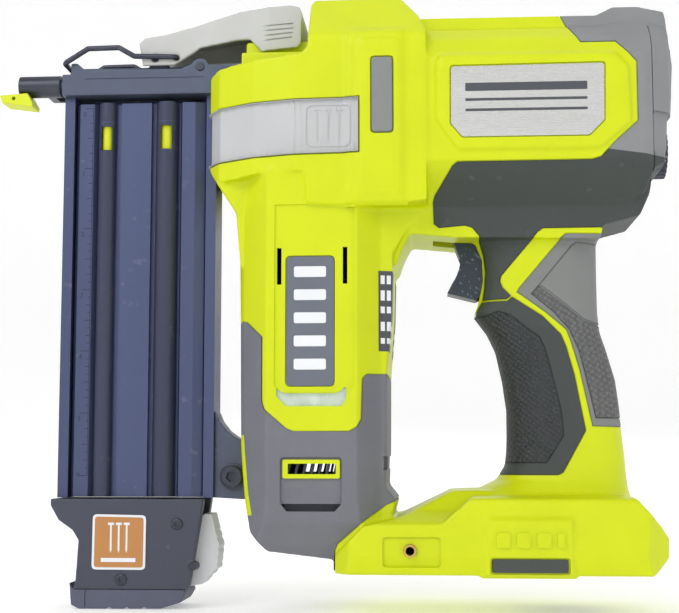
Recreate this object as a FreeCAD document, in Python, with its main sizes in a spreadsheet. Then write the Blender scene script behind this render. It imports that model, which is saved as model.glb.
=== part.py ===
"""Cordless brad nailer, as an assembly of separate pieces.

Frame: millimetres, +Z up. The nose fires along -X. The origin is the middle of the battery socket's
mouth, in the plane of the foot's underside. The tool's left side faces -Y.
"""

import FreeCAD, Part
import math
import os
import re
import Sketcher
from FreeCAD import Placement, Rotation, Vector

doc = FreeCAD.newDocument("BradNailer")

# ---------------------------------------------------------------- driving dimensions

SIZES = {
    # housing halves
    "wall": 2.5, "skin": 1.2, "head_half": 38.0, "core_half": 24.0, "saddle_half": 18.3,
    "motor_half": 36.0, "grip_half": 18.0, "foot_half": 39.0, "flare_half": 21.0, "collar_thickness": 2.0,
    "boss_radius": 3.4, "screw_radius": 1.5, "screw_head_radius": 3.0, "screw_head_height": 2.2,
    # drive line
    "drive_height": 201.0, "bore_radius": 14.0, "cylinder_radius": 15.8, "cylinder_front": -60.0,
    "cylinder_rear": 34.0, "piston_front": 20.0, "piston_length": 11.0, "piston_gap": 0.08,
    "blade_half": 0.6, "blade_tip": -149.0, "tooth_front": -82.0, "tooth_pitch": 14.0,
    "notch_width": 6.2, "pin_circle": 14.0, "pin_radius": 1.75, "lifter_offset": 16.5,
    # motor and gears
    "motor_place": -97.5, "can_radius": 21.0, "gear_module": 1.0, "planet_module": 0.8,
    "running_gap": 0.05,
    # nose
    "nose_half": 12.5, "door_half": 8.8, "tip_radius": 4.6, "snout_radius": 3.0,
    "bail_wire": 1.1, "bail_half": 14.3, "pin_small": 1.6, "arm_half": 14.4,
    # magazine
    "cover_bottom": 28.5, "cover_top": 191.0, "rail_top": 193.9,
    "slot_half": 0.9, "cap_half": 13.0, "latch_half": 7.0,
    # trigger and battery
    "trigger_half": 6.5, "socket_depth": 44.0,
    "insert_radius": 1.65, "insert_length": 8.0,
}

sheet = doc.addObject("Spreadsheet::Sheet", "Sizes")
for row, (alias, number) in enumerate(SIZES.items(), start=1):
    sheet.set(f"A{row}", alias)
    sheet.set(f"B{row}", str(number))
    sheet.setAlias(f"B{row}", alias)
doc.recompute()


def size(name):
    """One driving dimension, read back from the sheet."""
    return float(sheet.get(name))


PLANES = {"side": "XZ_Plane", "top": "XY_Plane", "front": "YZ_Plane"}

# axes of the swinging pieces, (x, z) in the side plane, and of the depth wheel, (y, z) in the front plane
HINGE, LEVER_AXIS, BAIL_AXIS = (-147.7, 205.2), (-166.5, 209.0), (-157.5, 209.0)
LATCH_AXIS, TRIGGER_AXIS, BOLT_AXIS, HOOK_AXIS = (-148.5, 1.0), (-36.0, 133.0), (-133.5, 36.5), (-61.4, 9.2)
WHEEL_AXIS = (14.4, 202.5)
GEAR_LOW, GEAR_HIGH = 177, 183


def bind(item, name, text):
    """Bind one property of item to an expression written with the sheet's own words."""
    item.setExpression(name, re.sub(r"[a-z][a-z_]{3,}", r"Sizes.\g<0>", str(text)))


def draw(sketch, loop):
    """Draw a closed loop: a circle (x, y, "radius"), or points, where a third value marks an arc's middle."""
    if isinstance(loop, tuple):
        centre_x, centre_y, radius = loop
        number = sketch.addGeometry(Part.Circle(Vector(centre_x, centre_y, 0), Vector(0, 0, 1), 1.0))
        place = sketch.addConstraint(Sketcher.Constraint("Radius", number, 1.0))
        bind(sketch, f"Constraints[{place}]", radius)
        return
    count = len(loop)
    step = 0
    while step < count:
        start, middle = loop[step], loop[(step + 1) % count]
        if len(middle) == 3:
            end = loop[(step + 2) % count]
            sketch.addGeometry(Part.Arc(Vector(*start[:2], 0), Vector(*middle[:2], 0), Vector(*end[:2], 0)))
            step += 2
        else:
            sketch.addGeometry(Part.LineSegment(Vector(*start[:2], 0), Vector(*middle[:2], 0)))
            step += 1


class Piece:
    """A PartDesign body built feature by feature."""

    def __init__(self, label):
        self.body = doc.addObject("PartDesign::Body", label)
        self.body.Label = label

    def sketch(self, plane, loops, offset):
        item = self.body.newObject("Sketcher::SketchObject", self.body.Name + "_sketch")
        role = PLANES[plane]
        item.AttachmentSupport = [(next(o for o in self.body.Origin.OriginFeatures if o.Role == role), "")]
        item.MapMode = "FlatFace"
        bind(item, "AttachmentOffset.Base.z", offset)
        for loop in loops:
            draw(item, loop)
        item.recompute()
        return item

    def add(self, plane, loops, low, high):
        """Pad the loops from low to high along the plane's axis."""
        offset = f"-({high})" if plane == "side" else low
        profile = self.sketch(plane, loops, offset)
        pad = self.body.newObject("PartDesign::Pad", self.body.Name + "_pad")
        pad.Profile = profile
        bind(pad, "Length", f"({high}) - ({low})")
        pad.recompute()
        self.body.recompute()
        return self

    def cut(self, plane, loops, low, high):
        """Pocket the loops from low to high along the plane's axis, and insist that it removes something."""
        before = self.body.Shape.Volume
        offset = f"-({low})" if plane == "side" else high
        profile = self.sketch(plane, loops, offset)
        pocket = self.body.newObject("PartDesign::Pocket", self.body.Name + "_pocket")
        pocket.Profile = profile
        bind(pocket, "Length", f"({high}) - ({low})")
        pocket.recompute()
        self.body.recompute()
        if self.body.Shape.Volume > before - 0.01:
            raise RuntimeError(f"a pocket of {self.body.Label} removes nothing")
        return self

    def loft(self, sections):
        """Join outlines on side planes, given as (y expression, points), by a straight loft."""
        sketches = [self.sketch("side", [points], f"-({place})") for place, points in sections]
        loft = self.body.newObject("PartDesign::AdditiveLoft", self.body.Name + "_loft")
        loft.Profile = sketches[0]
        loft.Sections = sketches[1:]
        loft.Ruled = True
        loft.recompute()
        self.body.recompute()
        return self


def box(x_low, x_high, y_low, y_high):
    return [(x_low, y_low), (x_high, y_low), (x_high, y_high), (x_low, y_high)]


def circle_points(centre_x, centre_y, radius):
    """A full circle as two arcs, for a loft or a plain size."""
    return [(centre_x - radius, centre_y), (centre_x, centre_y + radius, 1),
            (centre_x + radius, centre_y), (centre_x, centre_y - radius, 1)]


def inset(points, distance):
    """The same polygon with every edge moved inwards by distance."""
    count = len(points)
    area = sum(points[i][0] * points[(i + 1) % count][1] - points[(i + 1) % count][0] * points[i][1]
               for i in range(count))
    turn = 1.0 if area > 0 else -1.0
    moved = []
    for i in range(count):
        (ax, ay), (bx, by), (cx, cy) = points[i - 1], points[i], points[(i + 1) % count]
        first, second = math.hypot(bx - ax, by - ay), math.hypot(cx - bx, cy - by)
        nx1, ny1 = -(by - ay) / first * turn, (bx - ax) / first * turn
        nx2, ny2 = -(cy - by) / second * turn, (cx - bx) / second * turn
        scale = distance / (1.0 + nx1 * nx2 + ny1 * ny2)
        moved.append((bx + (nx1 + nx2) * scale, by + (ny1 + ny2) * scale))
    return moved


def combine(kind, label, base, tool):
    """A Part::Cut, Part::Common or Part::Fuse of two document objects."""
    item = doc.addObject("Part::" + kind, label)
    item.Label = label
    item.Base, item.Tool = base, tool
    item.recompute()
    return item


def gather(kind, label, items):
    """A Part::MultiFuse or a Part::Compound of several document objects."""
    item = doc.addObject("Part::" + kind, label)
    item.Label = label
    if kind == "Compound":
        item.Links = items
    else:
        item.Shapes = items
    item.recompute()
    return item


def mirror(label, source):
    """The same piece on the other side of the middle plane."""
    item = doc.addObject("Part::Mirroring", label)
    item.Label = label
    item.Source = source
    item.Normal = Vector(0, 1, 0)
    item.recompute()
    return item


def shaped(label, shape):
    """A piece whose shape is worked out by Part's own functions."""
    item = doc.addObject("Part::Feature", label)
    item.Label = label
    item.Shape = shape
    return item


NODES = {}


def keep(name, item):
    """Name the document object that becomes parts/NAME.step."""
    NODES[name] = item.body if isinstance(item, Piece) else item
    NODES[name].Label = name
    return item


# ---------------------------------------------------------------- housing halves

HEAD = [(-61, 132.8), (-64.3, 126.4), (-66.5, 120), (-129, 120), (-129.6, 140), (-140.5, 157),
        (-140.5, 194), (-129, 196.5), (-128.8, 207.6), (-100.5, 207.6), (-100.5, 226), (-99.5, 228),
        (-64, 228.5), (-57, 220), (13.5, 220), (20, 223.5), (30, 223.5), (40.5, 221), (43.4, 198.8),
        (42.4, 181.5), (41.2, 162.8),
        (38, 157), (34.4, 156), (33.4, 147.8), (29.7, 139.4), (15, 135.5), (14.1, 130), (-43, 131)]
DRUM = [(-129.5, 145), (-140.5, 158), (-140.5, 194), (-129, 196.5), (-127, 205), (-100.5, 205.5),
        (-96, 218), (-64, 219), (-57, 214), (13.5, 214), (30, 217), (39.5, 212), (41.5, 198),
        (40.5, 165), (33, 154), (-50, 150), (-66.5, 138)]
MOTOR = [(-129.5, 150), (-125.4, 93.5), (-124.7, 49), (-122.6, 28), (-120.3, 16.6), (-114.8, 9.9),
         (-89.9, 4.7), (-72, 4.7), (-66, 26), (-68.3, 40), (-68.3, 77), (-66.5, 100), (-66.5, 150)]
GRIP = [(-43, 140), (-34.5, 128.7), (-32.5, 120.6), (-33.4, 110.6), (-36.2, 101.8), (-30.2, 94.1),
        (-26.7, 86.8), (-23, 66.9), (-23.4, 37.3), (-23.4, 14), (23.2, 14), (23.2, 39.3), (22.8, 56.9),
        (20.8, 74.7), (14.2, 94.6), (14.1, 140)]
FOOT = [(-90.5, 0), (-80.4, 16.1), (-65.2, 20.7), (-45.4, 31), (-20, 33), (24, 28),
        (33.9, 17.3), (36.8, 13.6), (36.6, 6.2), (30.3, 0)]
SADDLE = [(-127.5, 195), (-127.5, 213.5), (-99.5, 213.5), (-99.5, 195)]
FLARE = [(-34.8, 20), (-34.8, 31), (-25.3, 39.5), (-0.7, 54.6), (19.6, 56.5), (20.5, 35.8), (24.9, 20)]

# how the wide regions are rounded seen from above: x, y along the left side, front to rear
HEAD_PLAN = [(-140.6, 5), (-140.6, -17), (-136, -25), (-122, -33.5), (-106, -38.1), (28, -38.1), (34, -35.5),
             (40, -31), (43.5, -24), (43.5, 5)]
MOTOR_PLAN = [(-140, 5), (-140, -9), (-126.5, -23), (-113, -36.1), (-83, -36.1), (-72, -27), (-66, -14),
              (-66, 5)]
FOOT_PLAN = [(-91, 5), (-91, -31), (-84, -39.1), (27, -39.1), (37, -29), (37, 5)]

# outline, half width, depth of the bevel along Y, how far the bevel pulls the outline in, plan
REGIONS = [
    (HEAD, "core_half", 5.0, 3.0, HEAD_PLAN),
    (SADDLE, "saddle_half", 3.0, 2.0, None),
    (DRUM, "head_half", 8.0, 5.0, HEAD_PLAN),
    (MOTOR, "motor_half", 9.0, 6.0, MOTOR_PLAN),
    (GRIP, "grip_half", 7.0, 3.5, None),
    (FOOT, "foot_half", 5.0, 3.0, FOOT_PLAN),
    (FLARE, "flare_half", 4.0, 3.0, None),
]


def left_solid(label, depth):
    """The left half of the housing's outer form, moved inwards by depth all round but at the middle plane."""
    pieces = []
    for number, (outline, half, bevel, pull, plan) in enumerate(REGIONS):
        piece = Piece(f"{label}_{number}")
        edge = inset(outline, depth) if depth else outline
        piece.loft([("0", edge), (f"-({half} - {depth} - {bevel})", edge),
                    (f"-({half} - {depth})", inset(edge, pull))])
        item = piece.body
        if plan:
            trim = Piece(f"{label}_plan_{number}").add("top", [inset(plan, depth)], "-5", "235")
            item = combine("Common", f"{label}_trimmed_{number}", item, trim.body)
        pieces.append(item)
    return gather("MultiFuse", label, pieces)


outer = left_solid("outer_form", 0.0)
under_skin = left_solid("under_skin_form", size("skin"))
cavity = left_solid("cavity_form", size("wall"))

# x and z of each housing screw, and how far its head seats from the middle plane
SCREWS = [(-114, 189, 28.0), (-125.5, 163, 22.0), (-63, 150, 30.0), (25, 143.5, 17.0), (8, 117, 10.5),
          (0, 68, 12.0), (-78, 11.5, 22.0), (29, 10, 33.0), (-117, 42, 25.0), (-74, 42, 18.0)]

bosses = Piece("screw_bosses")
bosses.add("side", [(x, z, "boss_radius") for x, z, seat in SCREWS], "-head_half", "0")

# openings of the housing: name, plane, loop, low, high
OPENINGS = Piece("housing_openings")
OPENINGS.add("top", [box(-17.7, 17.7, -15.0, 15.0)], "-1", "16")
OPENINGS.add("side", [box(-52, -22, 101, 140)], "-(trigger_half + 0.7)", "trigger_half + 0.7")
OPENINGS.add("side", [box(-142, -112, 191.6, 209.2)], "-(nose_half + 0.3)", "nose_half + 0.3")
OPENINGS.add("front", [circle_points(0, 168.5, 11.3)], "36", "48")
OPENINGS.add("side", [(*HOOK_AXIS, "insert_radius + 0.9")],
             "-(foot_half + 1)", "-(foot_half - insert_length)")
OPENINGS.add("side", [(*TRIGGER_AXIS, "pin_small")], "-9.5", "9.5")

shell = combine("Cut", "left_hollow", outer, cavity)
boss_ends = combine("Common", "boss_ends", bosses.body, outer)
shell = combine("Fuse", "left_with_bosses", shell, boss_ends)
shell = combine("Cut", "left_open", shell, OPENINGS.body)

# ---------------------------------------------------------------- soft overmould skins

SKIN_ZONES = {
    "head_overmould": [(0, 226), (6.1, 206), (19.6, 206), (27.3, 197), (27.3, 173.6), (14.6, 161.8),
                       (-43, 158.8), (-51, 143), (-49, 134.5), (-36, 131), (-31, 120), (-31.5, 105),
                       (-17, 103), (-15, 108), (-19.5, 115), (0, 134), (20, 133), (50, 133), (50, 228)],
    "grip_overmould": [(-40, 99), (-15, 100), (-11, 108), (-14, 114), (3, 131), (18, 130), (18, 94), (26, 74),
                       (26, 57.5), (0, 55.5), (-11, 46), (-12, 38), (-28, 38)],
    "motor_overmould": [(-133, 100), (-124, 97), (-118.5, 88), (-118.5, 66), (-107, 53), (-81, 53), (-75.5, 60),
                        (-75.5, 78), (-60, 78), (-60, 35), (-74, 26), (-90, 10.5), (-91, 2), (-133, 2)],
}

rind = combine("Cut", "left_rind", outer, under_skin)
rind = combine("Cut", "left_rind_open", rind, OPENINGS.body)
zones = [Piece(name + "_zone").add("side", [outline], "-60", "0").body
         for name, outline in SKIN_ZONES.items()]
skins = combine("Common", "left_overmould", rind, gather("Compound", "skin_zones", zones))
keep("left_overmould", skins)

bare = combine("Cut", "left_bare", shell, skins)

pilots = Piece("screw_pilots").add("side", [(x, z, "screw_radius") for x, z, seat in SCREWS], "-12", "0")
keep("left_housing", combine("Cut", "left_housing", bare, pilots.body))

clearance = Piece("screw_clearance")
clearance.add("side", [(x, z, "screw_radius + 0.1") for x, z, seat in SCREWS], "-1", "50")
for x, z, seat in SCREWS:
    clearance.add("side", [(x, z, "screw_head_radius + 0.2")], seat, "50")
keep("right_housing", combine("Cut", "right_housing", mirror("right_blank", bare), clearance.body))
keep("right_overmould", combine("Cut", "right_overmould", mirror("right_skins", skins), clearance.body))

screws = [Piece(f"housing_screw_{number}")
          .add("side", [(x, z, "screw_radius")], "-11", seat + 0.1)
          .add("side", [(x, z, "screw_head_radius")], seat, f"{seat} + screw_head_height").body
          for number, (x, z, seat) in enumerate(SCREWS)]
keep("housing_screws", gather("Compound", "housing_screws", screws))

# ---------------------------------------------------------------- plates and pads on the housing's sides

COLLAR = [(-143, 161.5), (-143, 183.6), (-79.5, 184.6), (-79.5, 162.5)]
BUMPER_BAR = [(-75.6, 171.5), (-74.4, 170.3), (-68.3, 170.3), (-67.1, 171.5), (-67.1, 198.6), (-68.3, 199.8),
              (-74.4, 199.8), (-75.6, 198.6)]
BADGE = [(-44.8, 196.1), (15, 196.5), (14.6, 173.6), (8.7, 167.6), (-40.4, 167.6), (-45, 173)]
NAME_PLATE = [(-108.8, 74), (-106.6, 71.3), (-92.6, 71.3), (-90.4, 74), (-90.4, 120), (-92.6, 122.7),
              (-106.6, 122.7), (-108.8, 120)]

collar_wrap = inset(HEAD_PLAN, -size("collar_thickness"))
collar_band = Piece("collar_band").add("top", [collar_wrap, HEAD_PLAN], "150", "195")
collar_zone = Piece("collar_zone").add("side", [COLLAR], "-45", "-10")
collar = combine("Common", "front_collar_left", collar_band.body, collar_zone.body)
keep("front_collars", gather("Compound", "front_collars", [collar, mirror("front_collar_right", collar)]))

for name, outline, inner, thick in [("bumper_bar", BUMPER_BAR, "head_half", "collar_thickness + 0.2"),
                                    ("side_badge", BADGE, "head_half", "1.0"),
                                    ("motor_plate", NAME_PLATE, "motor_half", "0.8")]:
    left = Piece(name + "_left").add("side", [outline], f"-({inner} + {thick})", f"-{inner}").body
    keep(name + "s", gather("Compound", name + "s", [left, mirror(name + "_right", left)]))

insert = Piece("hook_insert_left")
insert.add("side", [(*HOOK_AXIS, "insert_radius + 0.85"), (*HOOK_AXIS, "insert_radius")],
           "-foot_half", "-(foot_half - insert_length)")
inserts = [insert.body, mirror("hook_insert_right", insert.body)]
keep("hook_inserts", gather("Compound", "hook_inserts", inserts))

# ---------------------------------------------------------------- gears


def involute(angle):
    return math.tan(angle) - angle


def gear_outline(teeth, module, phase, tip=1.0, root=1.25, slack=0.06):
    """Involute teeth as a closed polygon; phase is the angle of one tooth's middle, in radians."""
    pressure = math.radians(20)
    pitch_radius = teeth * module / 2
    base_radius = pitch_radius * math.cos(pressure)
    root_radius, tip_radius = pitch_radius - root * module, pitch_radius + tip * module
    flank_start = max(base_radius, root_radius)
    radii = [root_radius] if flank_start > root_radius + 1e-6 else []
    radii += [flank_start + (tip_radius - flank_start) * i / 3 for i in range(4)]
    points = []
    for tooth in range(teeth):
        middle = phase + 2 * math.pi * tooth / teeth
        flank = []
        for radius in radii:
            angle = math.acos(min(1.0, base_radius / radius))
            half = math.pi / (2 * teeth) + involute(pressure) - involute(angle) - slack * module / pitch_radius
            flank.append((radius, half))
        for radius, half in flank:
            points.append((radius * math.cos(middle - half), radius * math.sin(middle - half)))
        for radius, half in reversed(flank):
            points.append((radius * math.cos(middle + half), radius * math.sin(middle + half)))
    return points


def moved(points, x, y):
    return [(px + x, py + y) for px, py in points]


PINION_TEETH, LIFTER_TEETH = 23, 30
SUN_TEETH, PLANET_TEETH, RING_TEETH = 12, 18, 48
MOTOR_X = size("motor_place")
CENTRE_DISTANCE = (PINION_TEETH + LIFTER_TEETH) * size("gear_module") / 2
LIFTER_Y = size("lifter_offset")
LIFTER_X = MOTOR_X + math.sqrt(CENTRE_DISTANCE ** 2 - LIFTER_Y ** 2)
MESH_ANGLE = math.atan2(LIFTER_Y, LIFTER_X - MOTOR_X)
PLANET_DISTANCE = (SUN_TEETH + PLANET_TEETH) * size("planet_module") / 2
PIN_STEP = size("tooth_pitch") / size("pin_circle")
PIN_COUNT = 6

# ---------------------------------------------------------------- motor, gearbox and lifter

motor_can = Piece("motor_can")
motor_can.add("top", [(MOTOR_X, 0, "can_radius")], "62", "146")
motor_can.cut("top", [(MOTOR_X, 0, "14.6")], "65", "143")
motor_can.cut("top", [(MOTOR_X, 0, "2.5 + running_gap")], "60", "148")
keep("motor_can", motor_can)

rotor = Piece("rotor")
rotor.add("top", [(MOTOR_X, 0, "2.5")], "50.5", "169")
rotor.add("top", [(MOTOR_X, 0, "14.2")], "72", "136")
keep("rotor", rotor)

fan = Piece("cooling_fan")
fan.add("top", [(MOTOR_X, 0, "5"), (MOTOR_X, 0, "2.5")], "52", "60")
fan.add("top", [(MOTOR_X, 0, "18"), (MOTOR_X, 0, "4.5")], "58.5", "60")
for blade in range(9):
    turn = 2 * math.pi * blade / 9
    along, across = Vector(math.cos(turn), math.sin(turn), 0), Vector(-math.sin(turn), math.cos(turn), 0)
    corners = [along * 4.6 - across * 0.7, along * 17 - across * 0.7, along * 17 + across * 0.7,
               along * 4.6 + across * 0.7]
    fan.add("top", [[(MOTOR_X + p.x, p.y) for p in corners]], "52", "59")
keep("cooling_fan", fan)

def toothed(points, low, high):
    """A gear blank with teeth: the outline carried from low to high."""
    corners = [Vector(x, y, low) for x, y in points]
    return Part.Face(Part.makePolygon(corners + corners[:1])).extrude(Vector(0, 0, high - low))


def disc(x, y, radius, low, high):
    return Part.makeCylinder(radius, high - low, Vector(x, y, low))


PLANET_MODULE, GEAR_MODULE = size("planet_module"), size("gear_module")
GAP = size("running_gap")
sun_teeth = moved(gear_outline(SUN_TEETH, PLANET_MODULE, 0.0), MOTOR_X, 0)
keep("sun_gear", shaped("sun_gear", toothed(sun_teeth, 157, 169).cut(disc(MOTOR_X, 0, 2.5, 150, 170))))

planet_phase = math.pi + math.pi / PLANET_TEETH
planet_places = []
for number in range(3):
    turn = 2 * math.pi * number / 3
    place_x, place_y = MOTOR_X + PLANET_DISTANCE * math.cos(turn), PLANET_DISTANCE * math.sin(turn)
    planet_places.append((place_x, place_y))
    planet_teeth = moved(gear_outline(PLANET_TEETH, PLANET_MODULE, turn + planet_phase), place_x, place_y)
    planet = toothed(planet_teeth, 157, 168).cut(disc(place_x, place_y, 2 + GAP, 150, 170))
    keep(f"planet_gear_{number + 1}", shaped(f"planet_gear_{number + 1}", planet))

ring_space = moved(gear_outline(RING_TEETH, PLANET_MODULE, math.pi / RING_TEETH, 1.25, 0.9, -0.06), MOTOR_X, 0)
case = disc(MOTOR_X, 0, 24, 147, 172).cut(toothed(ring_space, 150, 173)).cut(disc(MOTOR_X, 0, 4.5, 146, 151))
keep("gearbox_case", shaped("gearbox_case", case))

pinion_teeth = moved(gear_outline(PINION_TEETH, GEAR_MODULE, MESH_ANGLE), MOTOR_X, 0)
carrier_parts = [disc(MOTOR_X, 0, 5, 171, 184), toothed(pinion_teeth, GEAR_LOW, GEAR_HIGH)]
carrier_parts += [disc(x, y, 2, 155, 170) for x, y in planet_places]
keep("planet_carrier", shaped("planet_carrier", disc(MOTOR_X, 0, 17, 169.8, 171.6).fuse(carrier_parts)))

cover_plate = Piece("gearbox_cover")
cover_plate.add("top", [(MOTOR_X, 0, "24")], "172", "175")
cover_plate.add("top", [(LIFTER_X, LIFTER_Y, "9")], "172", "175")
cover_plate.cut("top", [(MOTOR_X, 0, "5 + running_gap")], "171", "176")
cover_plate.cut("top", [(LIFTER_X, LIFTER_Y, "3 + running_gap")], "171", "176")
keep("gearbox_cover", cover_plate)

PIN_CIRCLE, PIN_RADIUS = size("pin_circle"), size("pin_radius")
lifter_phase = MESH_ANGLE + math.pi + math.pi / LIFTER_TEETH
lifter_teeth = moved(gear_outline(LIFTER_TEETH, GEAR_MODULE, lifter_phase), LIFTER_X, LIFTER_Y)
lifter_parts = [toothed(lifter_teeth, GEAR_LOW, GEAR_HIGH),
                disc(LIFTER_X, LIFTER_Y, PIN_CIRCLE + PIN_RADIUS + 0.1, 188.5, 193)]
for number in range(PIN_COUNT):
    turn = PIN_STEP * number
    lifter_parts.append(disc(LIFTER_X + PIN_CIRCLE * math.sin(turn), LIFTER_Y - PIN_CIRCLE * math.cos(turn),
                             PIN_RADIUS, 192, 199.5))
keep("lifter_wheel", shaped("lifter_wheel", disc(LIFTER_X, LIFTER_Y, 3, 172.2, 190).fuse(lifter_parts)))

# ---------------------------------------------------------------- cylinder, piston, driver, air chamber

DRIVE_Z = size("drive_height")

cylinder = Piece("drive_cylinder")
cylinder.add("front", [(0, DRIVE_Z, "cylinder_radius"), (0, DRIVE_Z, "bore_radius")],
             "cylinder_front", "cylinder_rear")
keep("drive_cylinder", cylinder)

bumper = Piece("piston_bumper")
bumper.add("front", [(0, DRIVE_Z, "bore_radius"), (0, DRIVE_Z, "7.5")],
           "cylinder_front + 0.5", "cylinder_front + 9")
keep("piston_bumper", bumper)

piston = Piece("drive_piston")
piston.add("front", [(0, DRIVE_Z, "bore_radius - piston_gap")], "piston_front", "piston_front + 3.5")
piston.add("front", [(0, DRIVE_Z, "bore_radius - 2")], "piston_front + 3", "piston_front + 8")
piston.add("front", [(0, DRIVE_Z, "bore_radius - piston_gap")],
           "piston_front + 7", "piston_front + piston_length")
keep("drive_piston", piston)

seal = Piece("piston_seal")
seal.add("front", [(0, DRIVE_Z, "bore_radius - 0.03"), (0, DRIVE_Z, "bore_radius - 2")],
         "piston_front + 3.5", "piston_front + 7")
keep("piston_seal", seal)

blade = Piece("driver_blade")
blade.add("side", [box(size("blade_tip"), size("tooth_front") + 1, 199.2, 201.8)], "-blade_half", "blade_half")
teeth_edge = [(size("tooth_front"), -3), (size("piston_front"), -3), (size("piston_front"), 4.5)]
for number in reversed(range(PIN_COUNT)):
    notch = LIFTER_X + size("tooth_pitch") * number
    half_notch = size("notch_width") / 2
    teeth_edge += [(notch + half_notch, 4.5), (notch + half_notch, 0.5)]
    if number:
        teeth_edge += [(notch - half_notch, 0.5), (notch - half_notch, 4.5)]
teeth_edge += [(size("tooth_front"), 0.5)]
blade.add("top", [teeth_edge], "195", "203")
keep("driver_blade", blade)

chamber = Piece("air_chamber")
chamber.add("front", [(0, 166, "17")], "-55", "30")
chamber.add("front", [(0, 174, "5")], "29", "34")
chamber.cut("front", [(0, 166, "15")], "-53", "28")
chamber.cut("front", [(0, 174, "3")], "27", "35")
keep("air_chamber", chamber)

manifold = Piece("air_manifold")
manifold.add("front", [[(-15.5, 161), (15.5, 161), (15.5, 201), (0, 216.5, 1), (-15.5, 201)]], "34", "38")
manifold.cut("front", [[(-3, 170), (3, 170), (3, 203), (-3, 203)]], "33.5", "36")
manifold.cut("front", [(0, 168.5, "2.5 + running_gap")], "33", "39")
keep("air_manifold", manifold)

dial = Piece("pressure_dial")
grooves = 24
rim = []
for number in range(grooves):
    middle = 2 * math.pi * number / grooves
    for shift, radius in ((-0.09, 10.0), (-0.07, 10.7), (0.07, 10.7), (0.09, 10.0)):
        rim.append((radius * math.sin(middle + shift), 168.5 + radius * math.cos(middle + shift)))
dial.add("front", [rim], "38.6", "43")
dial.add("front", [(0, 168.5, "2.5")], "34.5", "39")
keep("pressure_dial", dial)

# ---------------------------------------------------------------- trigger and electrics

trigger = Piece("trigger")
trigger.add("side", [[(-44.1, 136), (-42.9, 129.1), (-40.9, 124.1), (-42.2, 118.5, 1), (-44.3, 114.6),
                      (-46.4, 110.5), (-34.9, 107.6), (-29.5, 110), (-29.5, 136.5), (-36, 138)]],
            "-trigger_half", "trigger_half")
trigger.cut("side", [(*TRIGGER_AXIS, "pin_small + running_gap")], "-10", "10")
trigger.cut("side", [box(-41, -20, 112, 128)], "-(trigger_half - 2)", "trigger_half - 2")
keep("trigger", trigger)

trigger_pin = Piece("trigger_pin")
trigger_pin.add("side", [(*TRIGGER_AXIS, "pin_small")], "-9.5", "9.5")
keep("trigger_pin", trigger_pin)

switch = Piece("trigger_switch")
switch.add("side", [box(-19, 3, 106, 132)], "-9", "9")
switch.add("side", [box(-21.5, -18, 116, 124)], "-3", "3")
keep("trigger_switch", switch)


def helix_spring(start, direction, length, turns, radius, wire):
    """A coil spring of round wire about the axis that leaves start along direction."""
    spine = Part.makeHelix(length / turns, length, radius)
    section = Part.Wire(Part.makeCircle(wire, Vector(radius, 0, 0), Vector(0, 1, 0)))
    coil = Part.Wire(spine).makePipeShell([section], True, True)
    coil.Placement = Placement(start, Rotation(Vector(0, 0, 1), direction))
    return coil


return_spring = helix_spring(Vector(-39.5, 0, 120), Vector(1, 0, 0), 17.2, 7, 3.0, 0.4)
keep("trigger_spring", shaped("trigger_spring", return_spring))

board = Piece("control_board")
board.add("top", [box(-112, -80, -24, 24)], "22", "23.6")
board.add("top", [box(-110, -98, -20, 20)], "23.5", "34")
board.add("top", [circle_points(-88, 12, 5), circle_points(-88, -12, 5)], "23.5", "36")
keep("control_board", board)

receptacle = Piece("battery_receptacle")
receptacle.add("top", [box(-17.7, 17.7, -15.0, 15.0)], "0", "socket_depth + 2.5")
receptacle.cut("top", [box(-14.9, 14.9, -12.7, 12.7)], "-1", "socket_depth")
receptacle.cut("side", [[(-19, 32), (-14, 32), (-14, 38), (-19, 38)]], "-6", "6")
keep("battery_receptacle", receptacle)

terminals = Piece("battery_terminals")
terminals.add("top", [box(-12, 12, -9, 9)], "socket_depth + 2.5", "socket_depth + 8")
for place in (-8, 0, 8):
    terminals.add("top", [box(place - 0.5, place + 0.5, -4, 4)], "socket_depth + 8", "socket_depth + 13")
keep("battery_terminals", terminals)

# ---------------------------------------------------------------- nose

nose = Piece("nose_casting")
nose.add("side", [[(-205.7, 194), (-205.7, 203), (-112, 203), (-112, 194)]], "-nose_half", "nose_half")
nose.add("side", [[(-140, 202), (-140, 206.2), (-112, 208), (-112, 202)]], "-10", "10")
for low, high in (("door_half + 0.4", "nose_half"), ("-nose_half", "-(door_half + 0.4)")):
    nose.add("side", [[(-202, 202), (-202, 207.6), (-199.5, 207.6), (-196, 204.6), (-156, 204.6),
                       (-151.2, 206.4), (-147.7, 208.8, 1), (-144.2, 206), (-132, 206), (-132, 202)]],
             low, high)
nose.add("front", [(0, DRIVE_Z, "snout_radius")], "-218.2", "-203")
nose.cut("front", [(0, DRIVE_Z, "tip_radius + 0.35"), (0, DRIVE_Z, "snout_radius")], "-206", "-200.5")
nose.cut("side", [box(-225, -110, 199, 203.2)], "-slot_half", "slot_half")
nose.cut("side", [box(-201.9, -148.9, 193.5, 200)], "-slot_half", "slot_half")
nose.cut("side", [box(-153.5, -111, 194.4, 203.5)], "-3.5", "5")
nose.cut("side", [circle_points(*HINGE, 3.5)], "-(door_half + 0.4)", "door_half + 0.4")
nose.cut("side", [(*HINGE, "pin_small")], "-20", "20")
nose.cut("top", [box(-141.2, -132.8, 7.9, 13)], "190", "210")
keep("nose_casting", nose)

door_pin = Piece("door_pin").add("side", [(*HINGE, "pin_small")], "-13", "12.2")
keep("door_pin", door_pin)

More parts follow.
